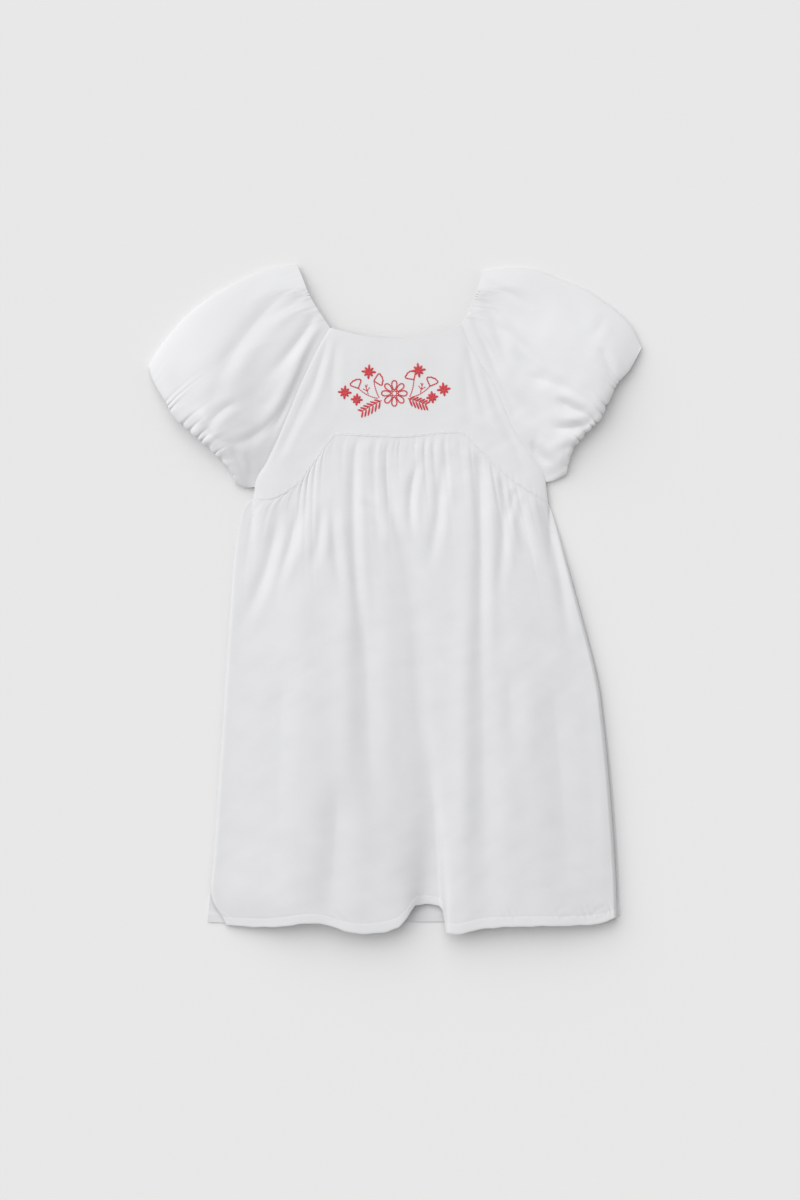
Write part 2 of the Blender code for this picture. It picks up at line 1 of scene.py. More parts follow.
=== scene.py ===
# %% [markdown]
# A child's puff sleeve dress, laid flat
#
# The dress lies on its back on a pale surface and is seen from straight above. Its solids come
# packed from the part's own source, as six rigid pieces of cloth. Here each piece gets a thin
# cloth surface in the same shape, with the finer gathers, creases, hems and stitches that a
# solid can't hold. Every surface is a formula on a grid of two shares, u across and v down.

import bpy
import numpy as np
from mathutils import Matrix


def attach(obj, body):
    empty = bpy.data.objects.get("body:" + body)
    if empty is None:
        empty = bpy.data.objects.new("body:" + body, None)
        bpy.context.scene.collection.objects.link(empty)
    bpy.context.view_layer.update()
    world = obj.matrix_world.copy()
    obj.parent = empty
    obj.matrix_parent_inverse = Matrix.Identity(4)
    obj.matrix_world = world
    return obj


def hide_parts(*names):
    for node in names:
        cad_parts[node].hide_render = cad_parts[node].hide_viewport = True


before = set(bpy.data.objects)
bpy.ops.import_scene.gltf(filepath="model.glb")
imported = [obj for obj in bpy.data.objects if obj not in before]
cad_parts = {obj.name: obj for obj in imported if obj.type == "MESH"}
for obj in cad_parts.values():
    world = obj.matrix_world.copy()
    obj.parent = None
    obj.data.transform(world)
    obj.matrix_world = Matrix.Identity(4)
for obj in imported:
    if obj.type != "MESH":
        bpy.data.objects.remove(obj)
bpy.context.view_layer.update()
MM = 0.001

# %% [markdown]
# The camera and the photo's frame
#
# The photo looks straight down. One of its pixels is one millimetre of dress, and the frame is
# 800 by 1200 pixels. A long lens from far away keeps the raised front from growing in the
# view. The dress's box is centred on the origin, which is pixel 395, 599.

# %% Place the camera over the dress
FRAME_WIDTH, FRAME_HEIGHT = 800, 1200
ORIGIN_PIXEL = (395.0, 599.0)
LENS, SENSOR = 180.0, 36.0
CAMERA_HEIGHT = FRAME_HEIGHT * MM * LENS / SENSOR

camera_data = bpy.data.cameras.new("camera")
camera_data.lens, camera_data.sensor_width = LENS, SENSOR
camera_data.clip_end = 4 * CAMERA_HEIGHT
camera = bpy.data.objects.new("camera", camera_data)
camera.location = ((FRAME_WIDTH / 2 - ORIGIN_PIXEL[0]) * MM, (ORIGIN_PIXEL[1] - FRAME_HEIGHT / 2) * MM, CAMERA_HEIGHT)
bpy.context.collection.objects.link(camera)
bpy.context.scene.camera = camera
print("camera", round(CAMERA_HEIGHT, 2), "m above the surface")

# %% [markdown]
# Sizes of the dress
#
# These are the same outlines, heights and folds as in the part's source, in millimetres from
# the origin: x to the right, y towards the neck. A few driving sizes set the rest.

# %% Driving sizes
CLOTH = 1.2                 # wall of the solids
SHELL = 0.55                # wall of the cloth surfaces made here
SEAM_GAP = 0.3
REST_HEIGHT = 2 * CLOTH + SEAM_GAP
HEM_DEPTH = 9.0
NECKLINE_RISE, SEAM_RISE, HEM_RISE, SIDE_ROUND, YOKE_STEP = 8.8, 8.4, 20.0, 26.0, 0.3
SKIRT_LENGTH = 426.0
HEM_LINE = SKIRT_LENGTH - HEM_DEPTH
NECK_RISE, SLEEVE_PUFF, SIDE_FOLD, FOLD_ROUND, NECK_SHARE = 9.0, 21.0, 4.6, 7.0, 0.3
UNDERARM_SWELL, EDGE_ROUND, LEFT_FULL, RIGHT_FULL = 0.6, 4.0, 0.16, 0.6
UNDERARM_SHARE = 0.88
# Height along both sides of the raglan seam, in columns share of the yoke's height, height
RAGLAN_RISE = ((0.0, 7.4), (0.26, 8.5), (0.6, 8.0), (0.76, 6.2), (0.88, 4.6), (1.0, 2.7))

# %% Outlines as short tables of x, y
NECKLINE = ((-65, 271), (-53, 268), (-32, 263), (-5, 260.4), (12, 261), (39, 265), (67, 274))
WAIST_SEAM = ((-142, 100), (-121, 101), (-98, 115), (-78, 141), (-63, 161), (-48, 164.3),
              (6, 162), (60, 166), (78, 156), (112, 123), (154, 95.5))
SIDE_LEFT = ((-142, 100), (-152, 85), (-160, 42), (-165, -21), (-180, -241), (-184, -294),
             (-171, -321), (-169, -326))
SIDE_RIGHT = ((154, 95.5), (165, 61), (180, 7), (201, -74), (208, -121), (215, -193),
              (220, -265), (222, -318))
HEM = ((-169, -326), (-125, -327.5), (-78, -323.4), (-50, -331), (-28, -334), (-2, -331),
       (30, -329), (62, -334), (90, -328.5), (130, -326.5), (195, -325), (222, -318))
BACK_SIDE_LEFT = ((-142, 100), (-152, 85), (-160, 42), (-165, -21), (-180, -241), (-187.5, -323))
BACK_SIDE_RIGHT = ((154, 95.5), (165, 61), (181, 7), (203, -74), (210, -121), (218, -193),
                   (223, -265), (225, -316))
BACK_HEM = ((-187.5, -323), (-120, -325), (30, -322.5), (150, -323), (225, -316))
RAGLAN_LEFT = ((-65, 271), (-74, 257), (-91, 223), (-105, 190), (-116, 164), (-128, 137), (-136, 124),
               (-140, 112))
RAGLAN_RIGHT = ((67, 274), (74, 257), (85, 237), (101, 210), (121, 165), (136, 144), (146, 130),
                (151, 117))
UNDERARM_LEFT = ((-140, 112), (-142, 100))
UNDERARM_RIGHT = ((151, 117), (154, 95.5))

# %% [markdown]
# Curves and patches
#
# A pattern maker draws a piece as four edges. The edges here are smooth curves through the
# tables, and a patch fills in the points between four of them.

# %% Curves through a table and patches between four curves
def smooth_line(points, stations):
    """Points at shares of the length of a Catmull-Rom curve through a table of x, y."""
    knots = np.array(points, float)
    padded = np.vstack([2 * knots[0] - knots[1], knots, 2 * knots[-1] - knots[-2]])
    t = np.linspace(0, 1, 24, endpoint=False)[None, :, None]
    a, b, c, d = (padded[i:len(padded) - 3 + i, None, :] for i in range(4))
    dense = 0.5 * (2 * b + (c - a) * t + (2 * a - 5 * b + 4 * c - d) * t ** 2
                   + (3 * b - a - 3 * c + d) * t ** 3)
    dense = np.vstack([dense.reshape(-1, knots.shape[1]), knots[-1]])
    length = np.append(0, np.cumsum(np.linalg.norm(np.diff(dense[:, :2], axis=0), axis=1)))
    wanted = np.asarray(stations) * length[-1]
    return np.column_stack([np.interp(wanted, length, column) for column in dense.T])


def joined_line(first, second, stations, corner):
    """Two curves end to end, the first up to the share called corner."""
    before = smooth_line(first, np.clip(stations / corner, 0, 1))
    after = smooth_line(second, np.clip((stations - corner) / (1 - corner), 0, 1))
    return np.where((stations < corner)[:, None], before, after)


def level_side(line, stations):
    """Unit vectors to the left of a curve's direction, from points a small share apart."""
    along = line(np.clip(stations + 0.003, 0, 1)) - line(np.clip(stations - 0.003, 0, 1))
    along /= np.linalg.norm(along, axis=1)[:, None]
    return np.column_stack([-along[:, 1], along[:, 0]])


def patch(first, last, left, right, u, v):
    """Plan points on a grid: blend first to last, add left to right, take off the corners' blend.

    Each edge is a function of shares. The sides bend to meet the corners of first and last.
    """
    ends = np.array([0.0, 1.0])
    corners, feet, left_ends, right_ends = first(ends), last(ends), left(ends), right(ends)
    share = v[:, None]
    left_side = left(v) + (1 - share) * (corners[0] - left_ends[0]) + share * (feet[0] - left_ends[1])
    right_side = right(v) + (1 - share) * (corners[1] - right_ends[0]) + share * (feet[1] - right_ends[1])
    u, v = u[None, :, None], v[:, None, None]
    bilinear = (1 - v) * ((1 - u) * corners[0] + u * corners[1]) + v * ((1 - u) * feet[0] + u * feet[1])
    return (1 - v) * first(u[0, :, 0]) + v * last(u[0, :, 0]) \
        + (1 - u) * left_side[:, None] + u * right_side[:, None] - bilinear


print("waist seam", round(np.linalg.norm(np.diff(smooth_line(WAIST_SEAM, np.linspace(0, 1, 300)), axis=0), axis=1).sum()), "mm long")

# %% Soft steps, rounded sides and folds
def smooth_step(value, start, end):
    """0 before start, 1 after end and an even slope between."""
    t = np.clip((value - start) / (end - start), 0, 1)
    return t * t * (3 - 2 * t)


def quarter_round(distance, radius):
    """Height share of a quarter circle that rises from an edge and is level after one radius."""
    t = np.clip(distance / radius, 0, 1)
    return np.sqrt(1 - (1 - t) ** 2)


def folded_side(distance, full):
    """Height share of a front from its side: round over the fold, then a long easy rise.

    full is the share of the height that the round edge itself has.
    """
    return full * quarter_round(distance, EDGE_ROUND) + (1 - full) * smooth_step(distance, -6.0, 3.2 * SIDE_ROUND)


AWAY_FROM_LIGHT = (0.63, -0.78)
FLANK_SHIFT = 0.75


def fold_relief(x, y, folds):
    """Height of all folds of a table: a bell across, a fade at both ends, bent through its middle.

    Columns of a table: start x, y, middle x, y, end x, y, depth, width. A negative depth is a
    ridge. A fifth of each valley's depth is a narrow crease along its middle, and the cloth
    that it takes up bulges beside it, more on one side than on the other. A table follows the
    dark line that a fold shows, which is the flank turned from the light, so each fold is moved
    by a part of its width away from the light.
    """
    total = np.zeros_like(x)
    for x0, y0, xm, ym, x1, y1, depth, width in folds:
        length = np.hypot(x1 - x0, y1 - y0)
        ax, ay = (x1 - x0) / length, (y1 - y0) / length
        share = ((x - x0) * ax + (y - y0) * ay) / length
        side = (y - y0) * ax - (x - x0) * ay
        middle = np.clip(((xm - x0) * ax + (ym - y0) * ay) / length, 0.2, 0.8)
        bow = ((ym - y0) * ax - (xm - x0) * ay) / (middle * (1 - middle))
        inside = np.clip(share, 0, 1)
        offset = side - bow * inside * (1 - inside)
        fade = smooth_step(share, -0.12, 0.25) * (1 - smooth_step(share, 0.55, 1.15))
        offset = offset + FLANK_SHIFT * width * (AWAY_FROM_LIGHT[0] * ay - AWAY_FROM_LIGHT[1] * ax)
        bell = np.exp(-(offset / width) ** 2)
        crease = np.exp(-np.abs(offset) / (0.3 * width)) * (1 - smooth_step(share, 0.3, 0.9))
        beside = 0.34 * np.exp(-(offset / width - 1.9) ** 2) + 0.2 * np.exp(-((offset / width + 2.1) / 1.3) ** 2)
        total -= depth * fade * (0.78 * bell + 0.22 * crease - beside if depth > 0 else bell)
    return total


def crumple(x, y):
    """A slow unevenness of a few tenths of a millimetre, from waves in uneven directions."""
    waves = ((0.16, 61.0, 0.2, 1.0), (0.10, 43.0, 1.2, 2.3), (0.05, 27.0, 2.3, 0.2), (0.08, 52.0, 2.8, 4.0),
             (0.02, 15.0, 0.8, 5.1), (0.02, 18.0, 1.9, 3.3))
    bend = 14.0 * np.sin(x / 41.0 + 0.6 + np.sin(y / 53.0)) + 11.0 * np.sin(y / 33.0 + 1.9)
    return sum(size * np.sin(2 * np.pi * (x * np.cos(turn) + y * np.sin(turn) + bend) / length + start)
               for size, length, turn, start in waves)


def pleat(phase, sharpness=1.6):
    """Ripples with narrow valleys and round ridges, one for each whole step of the phase."""
    return 1 - 2 * (1 - np.abs(np.sin(np.pi * phase))) ** sharpness


def wander(u, *waves):
    """A sum of sines of u, in rows of size, frequency and start: a smooth uneven curve."""
    return sum(size * np.sin(frequency * u + start) for size, frequency, start in waves)


# %% Fold tables of the skirt, the yoke and the two sleeves
SKIRT_FOLDS = (
    (-121, 83, -131, 35, -153, -18, 2.6, 6), (-100, 90, -106, 62, -123, 11, 2.2, 5),
    (-76, 93, -79, 60, -85, 32, 2.0, 5), (-65, 93, -62, 50, -55, 7, 2.0, 5),
    (-44, 149, -43, 60, -35, -47, 2.6, 5), (-37, 7, -32, -110, -28, -235, 2.4, 11),
    (-33, 97, -22, 86, -13, 61, 1.6, 5), (19, 133, 14, 104, 16, 61, 2.2, 4),
    (44, 133, 41, 90, 32, 36, 2.2, 5), (81, 151, 83, 43, 82, -83, 2.8, 6),
    (82, -60, 83, -190, 86, -322, 2.2, 12), (104, 124, 106, 70, 100, 7, 2.2, 5),
    (117, 110, 114, 95, 111, 79, 1.8, 4), (120, 97, 128, 60, 138, 36, 2.6, 6),
    (144, 97, 159, 42, 172, -40, 3.2, 6), (109, -73, 111, -120, 114, -169, 1.6, 10),
    (-64, -190, -68, -260, -74, -330, 2.6, 13), (-120, -60, -124, -180, -128, -300, 2.0, 18),
    (150, -90, 160, -200, 166, -310, 2.4, 16), (-54, 23, -54, -90, -54, -217, -1.8, 12),
    (65, 39, 64, -150, 63, -330, -2.2, 11), (196, -80, 204, -190, 206, -300, -1.6, 9))
CENTRE_FOLD = ((140, -10, 4, 1.0, 1.3), (95, -4, 5, 1.6, 1.3), (40, 12, 9, 1.6, 1.2),
               (-10, 20, 12, 1.8, 1.1), (-100, 24, 11, 3.0, 1.1), (-160, 28, 14, 4.2, 1.1), (-205, 30, 15, 6.0, 1.2),
               (-250, 33, 15, 10.0, 1.5), (-285, 34, 15, 13.4, 2.0), (-330, 35, 15.5, 15.5, 4.0))
SKIRT_DEPTH, SLEEVE_DEPTH = 0.85, 0.62     # shares of the tables' depths
HEM_NOTCH = ((-8, 0), (4, 3), (12, 11), (20, 23), (30, 24.5), (44, 24.5), (47.5, 21), (51, 0))
NOTCH_REACH = 60.0
# Where the hem is dragged into stronger puckers, in columns share across, depth, spread
HEM_DRAGS = ((0.30, 0.7, 0.03), (0.735, 0.8, 0.02), (0.86, 0.8, 0.02), (0.94, 1.2, 0.04))
YOKE_FOLDS = (
    (-70, 262, -80, 225, -98, 175, 1.3, 4), (-88, 215, -104, 175, -124, 135, 1.0, 4),
    (70, 262, 78, 225, 92, 178, 1.4, 4), (-62, 258, -64, 225, -66, 190, 0.7, 5),
    (66, 240, 70, 205, 74, 175, 0.7, 5), (84, 244, 96, 205, 116, 158, 1.2, 4),
    (108, 180, 120, 150, 132, 120, 1.0, 5))
LEFT_SLEEVE = {
    "neck": ((-98, 334), (-94, 325), (-87, 307), (-79, 292), (-65, 271)),
    "raglan": RAGLAN_LEFT,
    "top": ((-98, 334), (-130, 329), (-166, 313), (-196, 294), (-219, 272), (-237, 249), (-246.5, 233)),
    "lower": ((-140, 112), (-146, 111.5), (-153, 112), (-159, 115)),
    "cuff": ((-246.5, 233), (-241, 217), (-230, 199), (-219, 181), (-191, 156), (-166, 131), (-159, 115)),
    "inward": (0.62, 0.78),
    "swell": 0.68,
    "folds": (
        (-98, 329, -107, 326, -116, 324, 1.3, 4), (-106, 316, -147, 276, -188, 200, 3.8, 8),
        (-88, 308, -108, 296, -130, 281, 2.4, 5), (-79, 291, -100, 259, -130, 224, 2.8, 5),
        (-88, 266, -122, 195, -150, 142, -3.6, 8), (-80, 262, -99, 222, -130, 156, 1.2, 4),
        (-196, 188, -178, 166, -160, 146, -3.4, 7),
        (-69, 279, -100, 210, -166, 141, 2.6, 7), (-74, 262, -92, 215, -113, 181, 1.6, 5),
        (-162, 199, -182, 184, -196, 164, 2.6, 5), (-118, 190, -140, 168, -172, 152, 2.2, 5),
        (-192, 176, -162, 158, -136, 168, 1.5, 5), (-224, 226, -212, 200, -194, 178, 2.0, 9),
        (-186, 165, -172, 158, -158, 152, -1.8, 8), (-180, 146, -168, 136, -161, 128, 2.4, 4),
        (-164, 150, -156, 136, -152, 122, 2.6, 4), (-150, 146, -147, 134, -146, 122, 1.8, 4),
        (-160, 262, -180, 240, -206, 222, 1.2, 8))}
RIGHT_SLEEVE = {
    "neck": ((88, 328), (80, 301), (76, 292), (67, 274)),
    "raglan": RAGLAN_RIGHT,
    "top": ((88, 328), (117, 331), (139, 329), (164, 319), (190, 308), (217, 290), (235, 273), (246.5, 251)),
    "lower": ((151, 117), (157, 118), (164, 120.5), (171, 124)),
    "cuff": ((246.5, 251), (235, 230), (222, 215), (211, 194), (206, 182), (192, 167), (177, 148), (171, 124)),
    "inward": (-0.74, 0.62),
    "swell": 0.9,
    "folds": (
        (88, 319, 112, 308, 136, 293, 3.2, 4), (79, 309, 98, 288, 122, 264, 2.2, 4),
        (71, 290, 86, 262, 104, 228, 2.2, 4), (84, 266, 104, 219, 122, 176, 1.8, 5),
        (93, 286, 102, 264, 112, 235, 2.0, 5), (100, 277, 125, 256, 143, 238, 2.6, 5),
        (134, 225, 164, 215, 183, 206, 2.0, 6), (161, 316, 181, 287, 198, 258, 3.6, 9),
        (206, 286, 200, 272, 192, 262, 2.0, 5), (204, 250, 212, 235, 218, 221, 2.6, 5),
        (163, 200, 180, 190, 200, 181, 4.6, 5), (158, 174, 176, 174, 200, 182, 4.8, 5),
        (150, 152, 168, 160, 188, 166, -2.8, 6), (137, 156, 146, 142, 160, 134, 5.6, 5),
        (150, 124, 164, 132, 178, 143, 4.2, 5), (120, 250, 150, 228, 172, 220, 1.4, 8),
        (112, 214, 128, 190, 150, 170, 1.6, 7))}
SLEEVE_RINGS = (
    (0.0, 0, 1.0, 0.0, 0), (0.03, 0, 1.0, 0.04, 0), (0.09, 0, 1.0, 0.12, 0), (0.17, 0, 1.0, 0.25, 0),
    (0.27, 0, 1.0, 0.42, 0), (0.38, 0, 1.0, 0.60, 0), (0.50, 0, 1.0, 0.78, 0), (0.62, 0, 1.0, 0.92, 0),
    (0.73, 0, 1.0, 1.0, 0), (0.83, 0, 1.0, 0.99, 0), (0.91, 0, 1.0, 0.94, 0), (0.97, 0, 1.0, 0.81, 0.6),
    (1.0, 0, 1.0, 0.6, 2.0), (1.0, 3.0, 0.97, 0.46, 3.7), (1.0, 9.0, 0.84, 0.44, 4.4),
    (1.0, 17.0, 0.62, 0.45, 4.4))
print("folds", len(SKIRT_FOLDS), len(YOKE_FOLDS), len(LEFT_SLEEVE["folds"]), len(RIGHT_SLEEVE["folds"]))

# %% [markdown]
# Cloth materials
#
# The real cloth is a light plain weave, matt, with a faint sheen and uneven threads. Its
# threads are under half a millimetre, far finer than any mesh, so they are bump from two
# crossed wave textures. Those read a UV map laid out in metres of cloth, so the threads
# follow each piece's own grain and lean with its folds.

# %% Node helpers and the cloth material
def node(tree, kind, inputs=(), **settings):
    """Add a node, set its options, and set or link its inputs."""
    made = tree.nodes.new(kind)
    for name, value in settings.items():
        setattr(made, name, value)
    for key, value in inputs:
        if isinstance(value, bpy.types.NodeSocket):
            tree.links.new(value, made.inputs[key])
        else:
            made.inputs[key].default_value = value
    return made


THREAD_PITCH = 0.00042      # metres from one thread of the weave to the next


def cloth_material(name, colour, mottle):
    """White woven cloth: crossed threads as bump, uneven slubs, and a slow change of tone.

    The whole dress is painted a little paler towards the neck, read from the objects' own y: painted light, a gradient
    for the lamp lighting the neck end more.
    """
    material = bpy.data.materials.new(name)
    material.use_nodes = True
    tree = material.node_tree
    shader = tree.nodes["Principled BSDF"]
    cloth_map = node(tree, "ShaderNodeUVMap", uv_map="cloth").outputs[0]
    scale = 0.5 / THREAD_PITCH
    threads = []
    for direction in ("X", "Y"):
        wave = node(tree, "ShaderNodeTexWave", (("Vector", cloth_map), ("Scale", scale * 0.31831), ("Distortion", 1.2),
                    ("Detail", 1.0), ("Detail Scale", 0.4)), bands_direction=direction)
        threads.append(wave.outputs["Fac"])
    weave = node(tree, "ShaderNodeMath", ((0, threads[0]), (1, threads[1])), operation="MAXIMUM").outputs[0]
    stretched = node(tree, "ShaderNodeMapping", (("Vector", cloth_map), ("Scale", (900.0, 60.0, 1.0)))).outputs[0]
    slub = node(tree, "ShaderNodeTexNoise", (("Vector", stretched), ("Scale", 1.0), ("Detail", 3.0))).outputs["Fac"]
    rough = node(tree, "ShaderNodeMath", ((0, weave), (1, slub)), operation="ADD").outputs[0]
    bump = node(tree, "ShaderNodeBump", (("Height", rough), ("Strength", 0.35), ("Distance", 0.00006)))
    tree.links.new(bump.outputs[0], shader.inputs["Normal"])
    tone = node(tree, "ShaderNodeTexNoise", (("Vector", cloth_map), ("Scale", 34.0), ("Detail", 4.0),
                                             ("Roughness", 0.6))).outputs["Fac"]
    doubled = node(tree, "ShaderNodeAttribute", attribute_name="doubled").outputs["Fac"]
    # Painted light: the colour is scaled from 0.985 at the hem end to 1.055 at the neck end
    place = node(tree, "ShaderNodeTexCoord").outputs["Object"]
    height = node(tree, "ShaderNodeSeparateXYZ", ((0, place),)).outputs["Y"]
    up = node(tree, "ShaderNodeMapRange", (("Value", height), ("From Min", -0.25), ("From Max", 0.2),
                                           ("To Min", 0.985), ("To Max", 1.055))).outputs["Result"]
    darker = tuple(channel * (1 - mottle) for channel in colour)
    paler = tuple(min(channel * 1.01, 1.0) for channel in colour)
    ramp = node(tree, "ShaderNodeValToRGB", ((0, tone),))
    ramp.color_ramp.elements[0].position, ramp.color_ramp.elements[1].position = 0.3, 0.7
    ramp.color_ramp.elements[0].color = (*darker, 1.0)
    ramp.color_ramp.elements[1].color = (*colour, 1.0)
    mixed = node(tree, "ShaderNodeMix", ((0, doubled), (6, ramp.outputs[0]), (7, (*paler, 1.0))), data_type="RGBA")
    painted_light_colour = node(tree, "ShaderNodeVectorMath", ((0, mixed.outputs[2]), ("Scale", up)), operation="SCALE").outputs[0]
    tree.links.new(painted_light_colour, shader.inputs["Base Color"])
    shader.inputs["Roughness"].default_value = 0.82
    shader.inputs["Sheen Weight"].default_value = 0.12
    shader.inputs["Sheen Roughness"].default_value = 0.4
    shader.inputs["Specular IOR Level"].default_value = 0.3
    return material


WHITE = (0.740, 0.743, 0.753)
skirt_cloth = cloth_material("skirt_cloth", WHITE, 0.03)
yoke_cloth = cloth_material("yoke_cloth", WHITE, 0.02)
back_cloth = cloth_material("back_cloth", WHITE, 0.04)
print("thread pitch", THREAD_PITCH / MM, "mm")

# %% [markdown]
# From a grid of points to a piece of cloth
#
# A grid of points becomes a mesh in one go: the faces' corner numbers are worked out as whole
# arrays. A second layer of points behind the first gives the cloth its thin wall, so the outer
# face stays on the form of the solid. The modifier for this would blur the cut edges, because
# it shades them smooth. The UV map holds each point's place in metres of cloth.

# %% Mesh helpers
def grid_faces(rows, columns, closed=False):
    """Corner numbers of the quads of a grid, wrapped round sideways if it is closed."""
    steps = columns if closed else columns - 1
    i, j = np.meshgrid(np.arange(rows - 1), np.arange(steps), indexing="ij")
    k = (j + 1) % columns
    return np.stack([i * columns + j, (i + 1) * columns + j, (i + 1) * columns + k, i * columns + k], -1).reshape(-1, 4)


def grid_normals(grid, closed):
    """Unit normals of a grid of points: the cross product of the steps down and across."""
    if closed:
        across = np.roll(grid, -1, axis=1) - np.roll(grid, 1, axis=1)
    else:
        across = np.gradient(grid, axis=1)
    normals = np.cross(np.gradient(grid, axis=0), across)
    return normals / np.linalg.norm(normals, axis=2, keepdims=True).clip(1e-9)


def rim_ring(rows, columns):
    """Point numbers round the edge of an open grid, in the order of its faces."""
    numbers = np.arange(rows * columns).reshape(rows, columns)
    return np.concatenate([numbers[:-1, 0], numbers[-1, :-1], numbers[:0:-1, -1], numbers[0, :0:-1]])


def walled(grid, thickness, closed, flip):
    """Points and quads of a closed shell: the grid, its inner wall, and rims where it is open."""
    rows, columns = grid.shape[:2]
    facing = grid_normals(grid, closed) * (-1 if flip else 1)
    points = np.concatenate([grid.reshape(-1, 3), (grid - facing * thickness).reshape(-1, 3)])
    count = rows * columns
    outer = grid_faces(rows, columns, closed)
    if closed:
        first = np.arange(columns)
        rings = [first[::-1], first + (rows - 1) * columns]
    else:
        rings = [rim_ring(rows, columns)]
    rims = []
    for ring in rings:
        after = np.roll(ring, -1)
        rims.append(np.stack([after, ring, ring + count, after + count], -1))
    faces = np.concatenate([outer, outer[:, ::-1] + count, *rims])
    return points, faces[:, ::-1] if flip else faces


def mesh_object(name, points, faces, material, cloth_map=None, sharp=None):
    """An object from arrays of points in millimetres and of corner numbers, shaded smooth.

    sharp is the angle in degrees from which an edge between two faces stays crisp.
    """
    mesh = bpy.data.meshes.new(name)
    mesh.vertices.add(len(points))
    mesh.vertices.foreach_set("co", (points * MM).astype(np.float32).ravel())
    corners = faces.shape[1]
    mesh.loops.add(faces.size)
    mesh.loops.foreach_set("vertex_index", faces.astype(np.int32).ravel())
    mesh.polygons.add(len(faces))
    mesh.polygons.foreach_set("loop_start", np.arange(len(faces), dtype=np.int32) * corners)
    mesh.polygons.foreach_set("use_smooth", np.ones(len(faces), bool))
    if cloth_map is not None:
        layer = mesh.uv_layers.new(name="cloth")
        layer.data.foreach_set("uv", cloth_map[faces.ravel()].astype(np.float32).ravel())
    mesh.update(calc_edges=True)
    mesh.validate()
    if sharp is not None:
        mesh.set_sharp_from_angle(angle=np.radians(sharp))
    mesh.materials.append(material)
    made = bpy.data.objects.new(name, mesh)
    bpy.context.collection.objects.link(made)
    return made


def cloth_lengths(grid):
    """Metres of cloth across and down to each point, averaged over the rows and the columns."""
    across = np.linalg.norm(np.diff(grid, axis=1), axis=2).mean(axis=0)
    down = np.linalg.norm(np.diff(grid, axis=0), axis=2).mean(axis=1)
    u, v = np.append(0, np.cumsum(across)), np.append(0, np.cumsum(down))
    return np.stack(np.meshgrid(u, v), -1).reshape(-1, 2) * MM


def cloth_piece(name, grid, material, closed=False, flip=False, doubled=None):
    """Make a grid of points a piece of cloth with a thin wall, in place of its solid.

    doubled is 1 on the rows where the cloth is turned back on itself, and 0 on the others.
    """
    points, faces = walled(grid, SHELL, closed, flip)
    lengths = np.tile(cloth_lengths(grid), (2, 1))
    made = mesh_object(name + "_cloth", points, faces, material, lengths, sharp=60)
    if doubled is not None:
        amount = made.data.attributes.new("doubled", "FLOAT", "POINT")
        amount.data.foreach_set("value", np.tile(np.repeat(doubled, grid.shape[1]), 2).astype(np.float32))
    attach(made, "root")
    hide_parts(name)
    print(made.name, len(faces), "quads, top", round(grid[..., 2].max(), 1), "mm")
    return made


def clustered(count, places, spread, weight):
    """Shares from 0 to 1, closer together near the given places."""
    fine = np.linspace(0, 1, 4001)
    density = 1 + sum(weight * np.exp(-((fine - place) / spread) ** 2) for place in places)
    total = np.append(0, np.cumsum((density[1:] + density[:-1]) / 2))
    return np.interp(np.linspace(0, total[-1], count), total, fine)


# %% [markdown]
# The front skirt
#
# A wide panel is gathered into the raised waist seam and falls in soft folds to the hem. The
# surface is a height over the flat plan: a dome that rounds down at both sides, the long
# folds, one deep fold down the middle, and short uneven gathers under the seam. Cloth
# simulation would drop the folds elsewhere than the photo shows them, so they are placed.

# %% Shape of the front skirt
def waist_line(u):
    """Top edge of a skirt piece: the waist seam, one seam gap below the yoke."""
    return smooth_line(WAIST_SEAM, u) - SEAM_GAP * level_side(lambda s: smooth_line(WAIST_SEAM, s), u)


def waist_height(x):
    """Top of the front along the waist seam: level, and rounding down at both sides."""
    from_side = np.clip(np.minimum(x - WAIST_SEAM[0][0], WAIST_SEAM[-1][0] - x), 0, None)
    return REST_HEIGHT + (SEAM_RISE - REST_HEIGHT) * quarter_round(from_side, SIDE_ROUND)


def gathers(u, fall):
    """Two trains of pleats with wandering spacing. Each pleat fades out at its own length."""
    edge = smooth_step(np.minimum(u, 1 - u), 0.008, 0.05)
    broad_phase = 28 * u + wander(u, (0.22, 20.7, 0.7), (0.12, 49.6, 2.1))
    broad_reach = 46 + wander(u, (24, 29.5, 1.3), (13, 57.2, 0.0), (8, 101, 0.4))
    fine_phase = 59 * u + wander(u, (0.5, 23.1, 1.9), (0.28, 61.3, 0.2))
    fine_reach = 15 + wander(u, (6, 44.7, 0.9), (4, 87.0, 2.0))
    start = 0.12 + 0.88 * smooth_step(fall, 0, 15)
    size = 0.5 + wander(u, (0.2, 33.3, 0.4), (0.15, 71.9, 1.0))
    broad = size * pleat(broad_phase) * np.exp(-(fall / broad_reach) ** 2)
    fine = 0.34 * pleat(fine_phase) * np.exp(-(fall / fine_reach) ** 2)
    return edge * start * (broad + fine)


def centre_fold(x, y):
    """Depth of the middle fold: a trough that widens and sharpens to the hem, easier on its right."""
    table = np.array(CENTRE_FOLD[::-1], float)
    centre, half, depth, sharp = (np.interp(y, table[:, 0], table[:, i]) for i in range(1, 5))
    fade = 1 - smooth_step(y, 120, 150)
    lower = smooth_step(-y, 100, 220)
    centre = centre + 7.0 * lower
    half = half * np.where(x > centre, 1.2 - 0.7 * lower, 0.95 + 0.55 * lower)
    sharp = sharp * np.where(x > centre, 1.0, 1 - 0.15 * lower)
    return depth * fade / (1 + (np.abs(x - centre) / half) ** (2 * sharp))


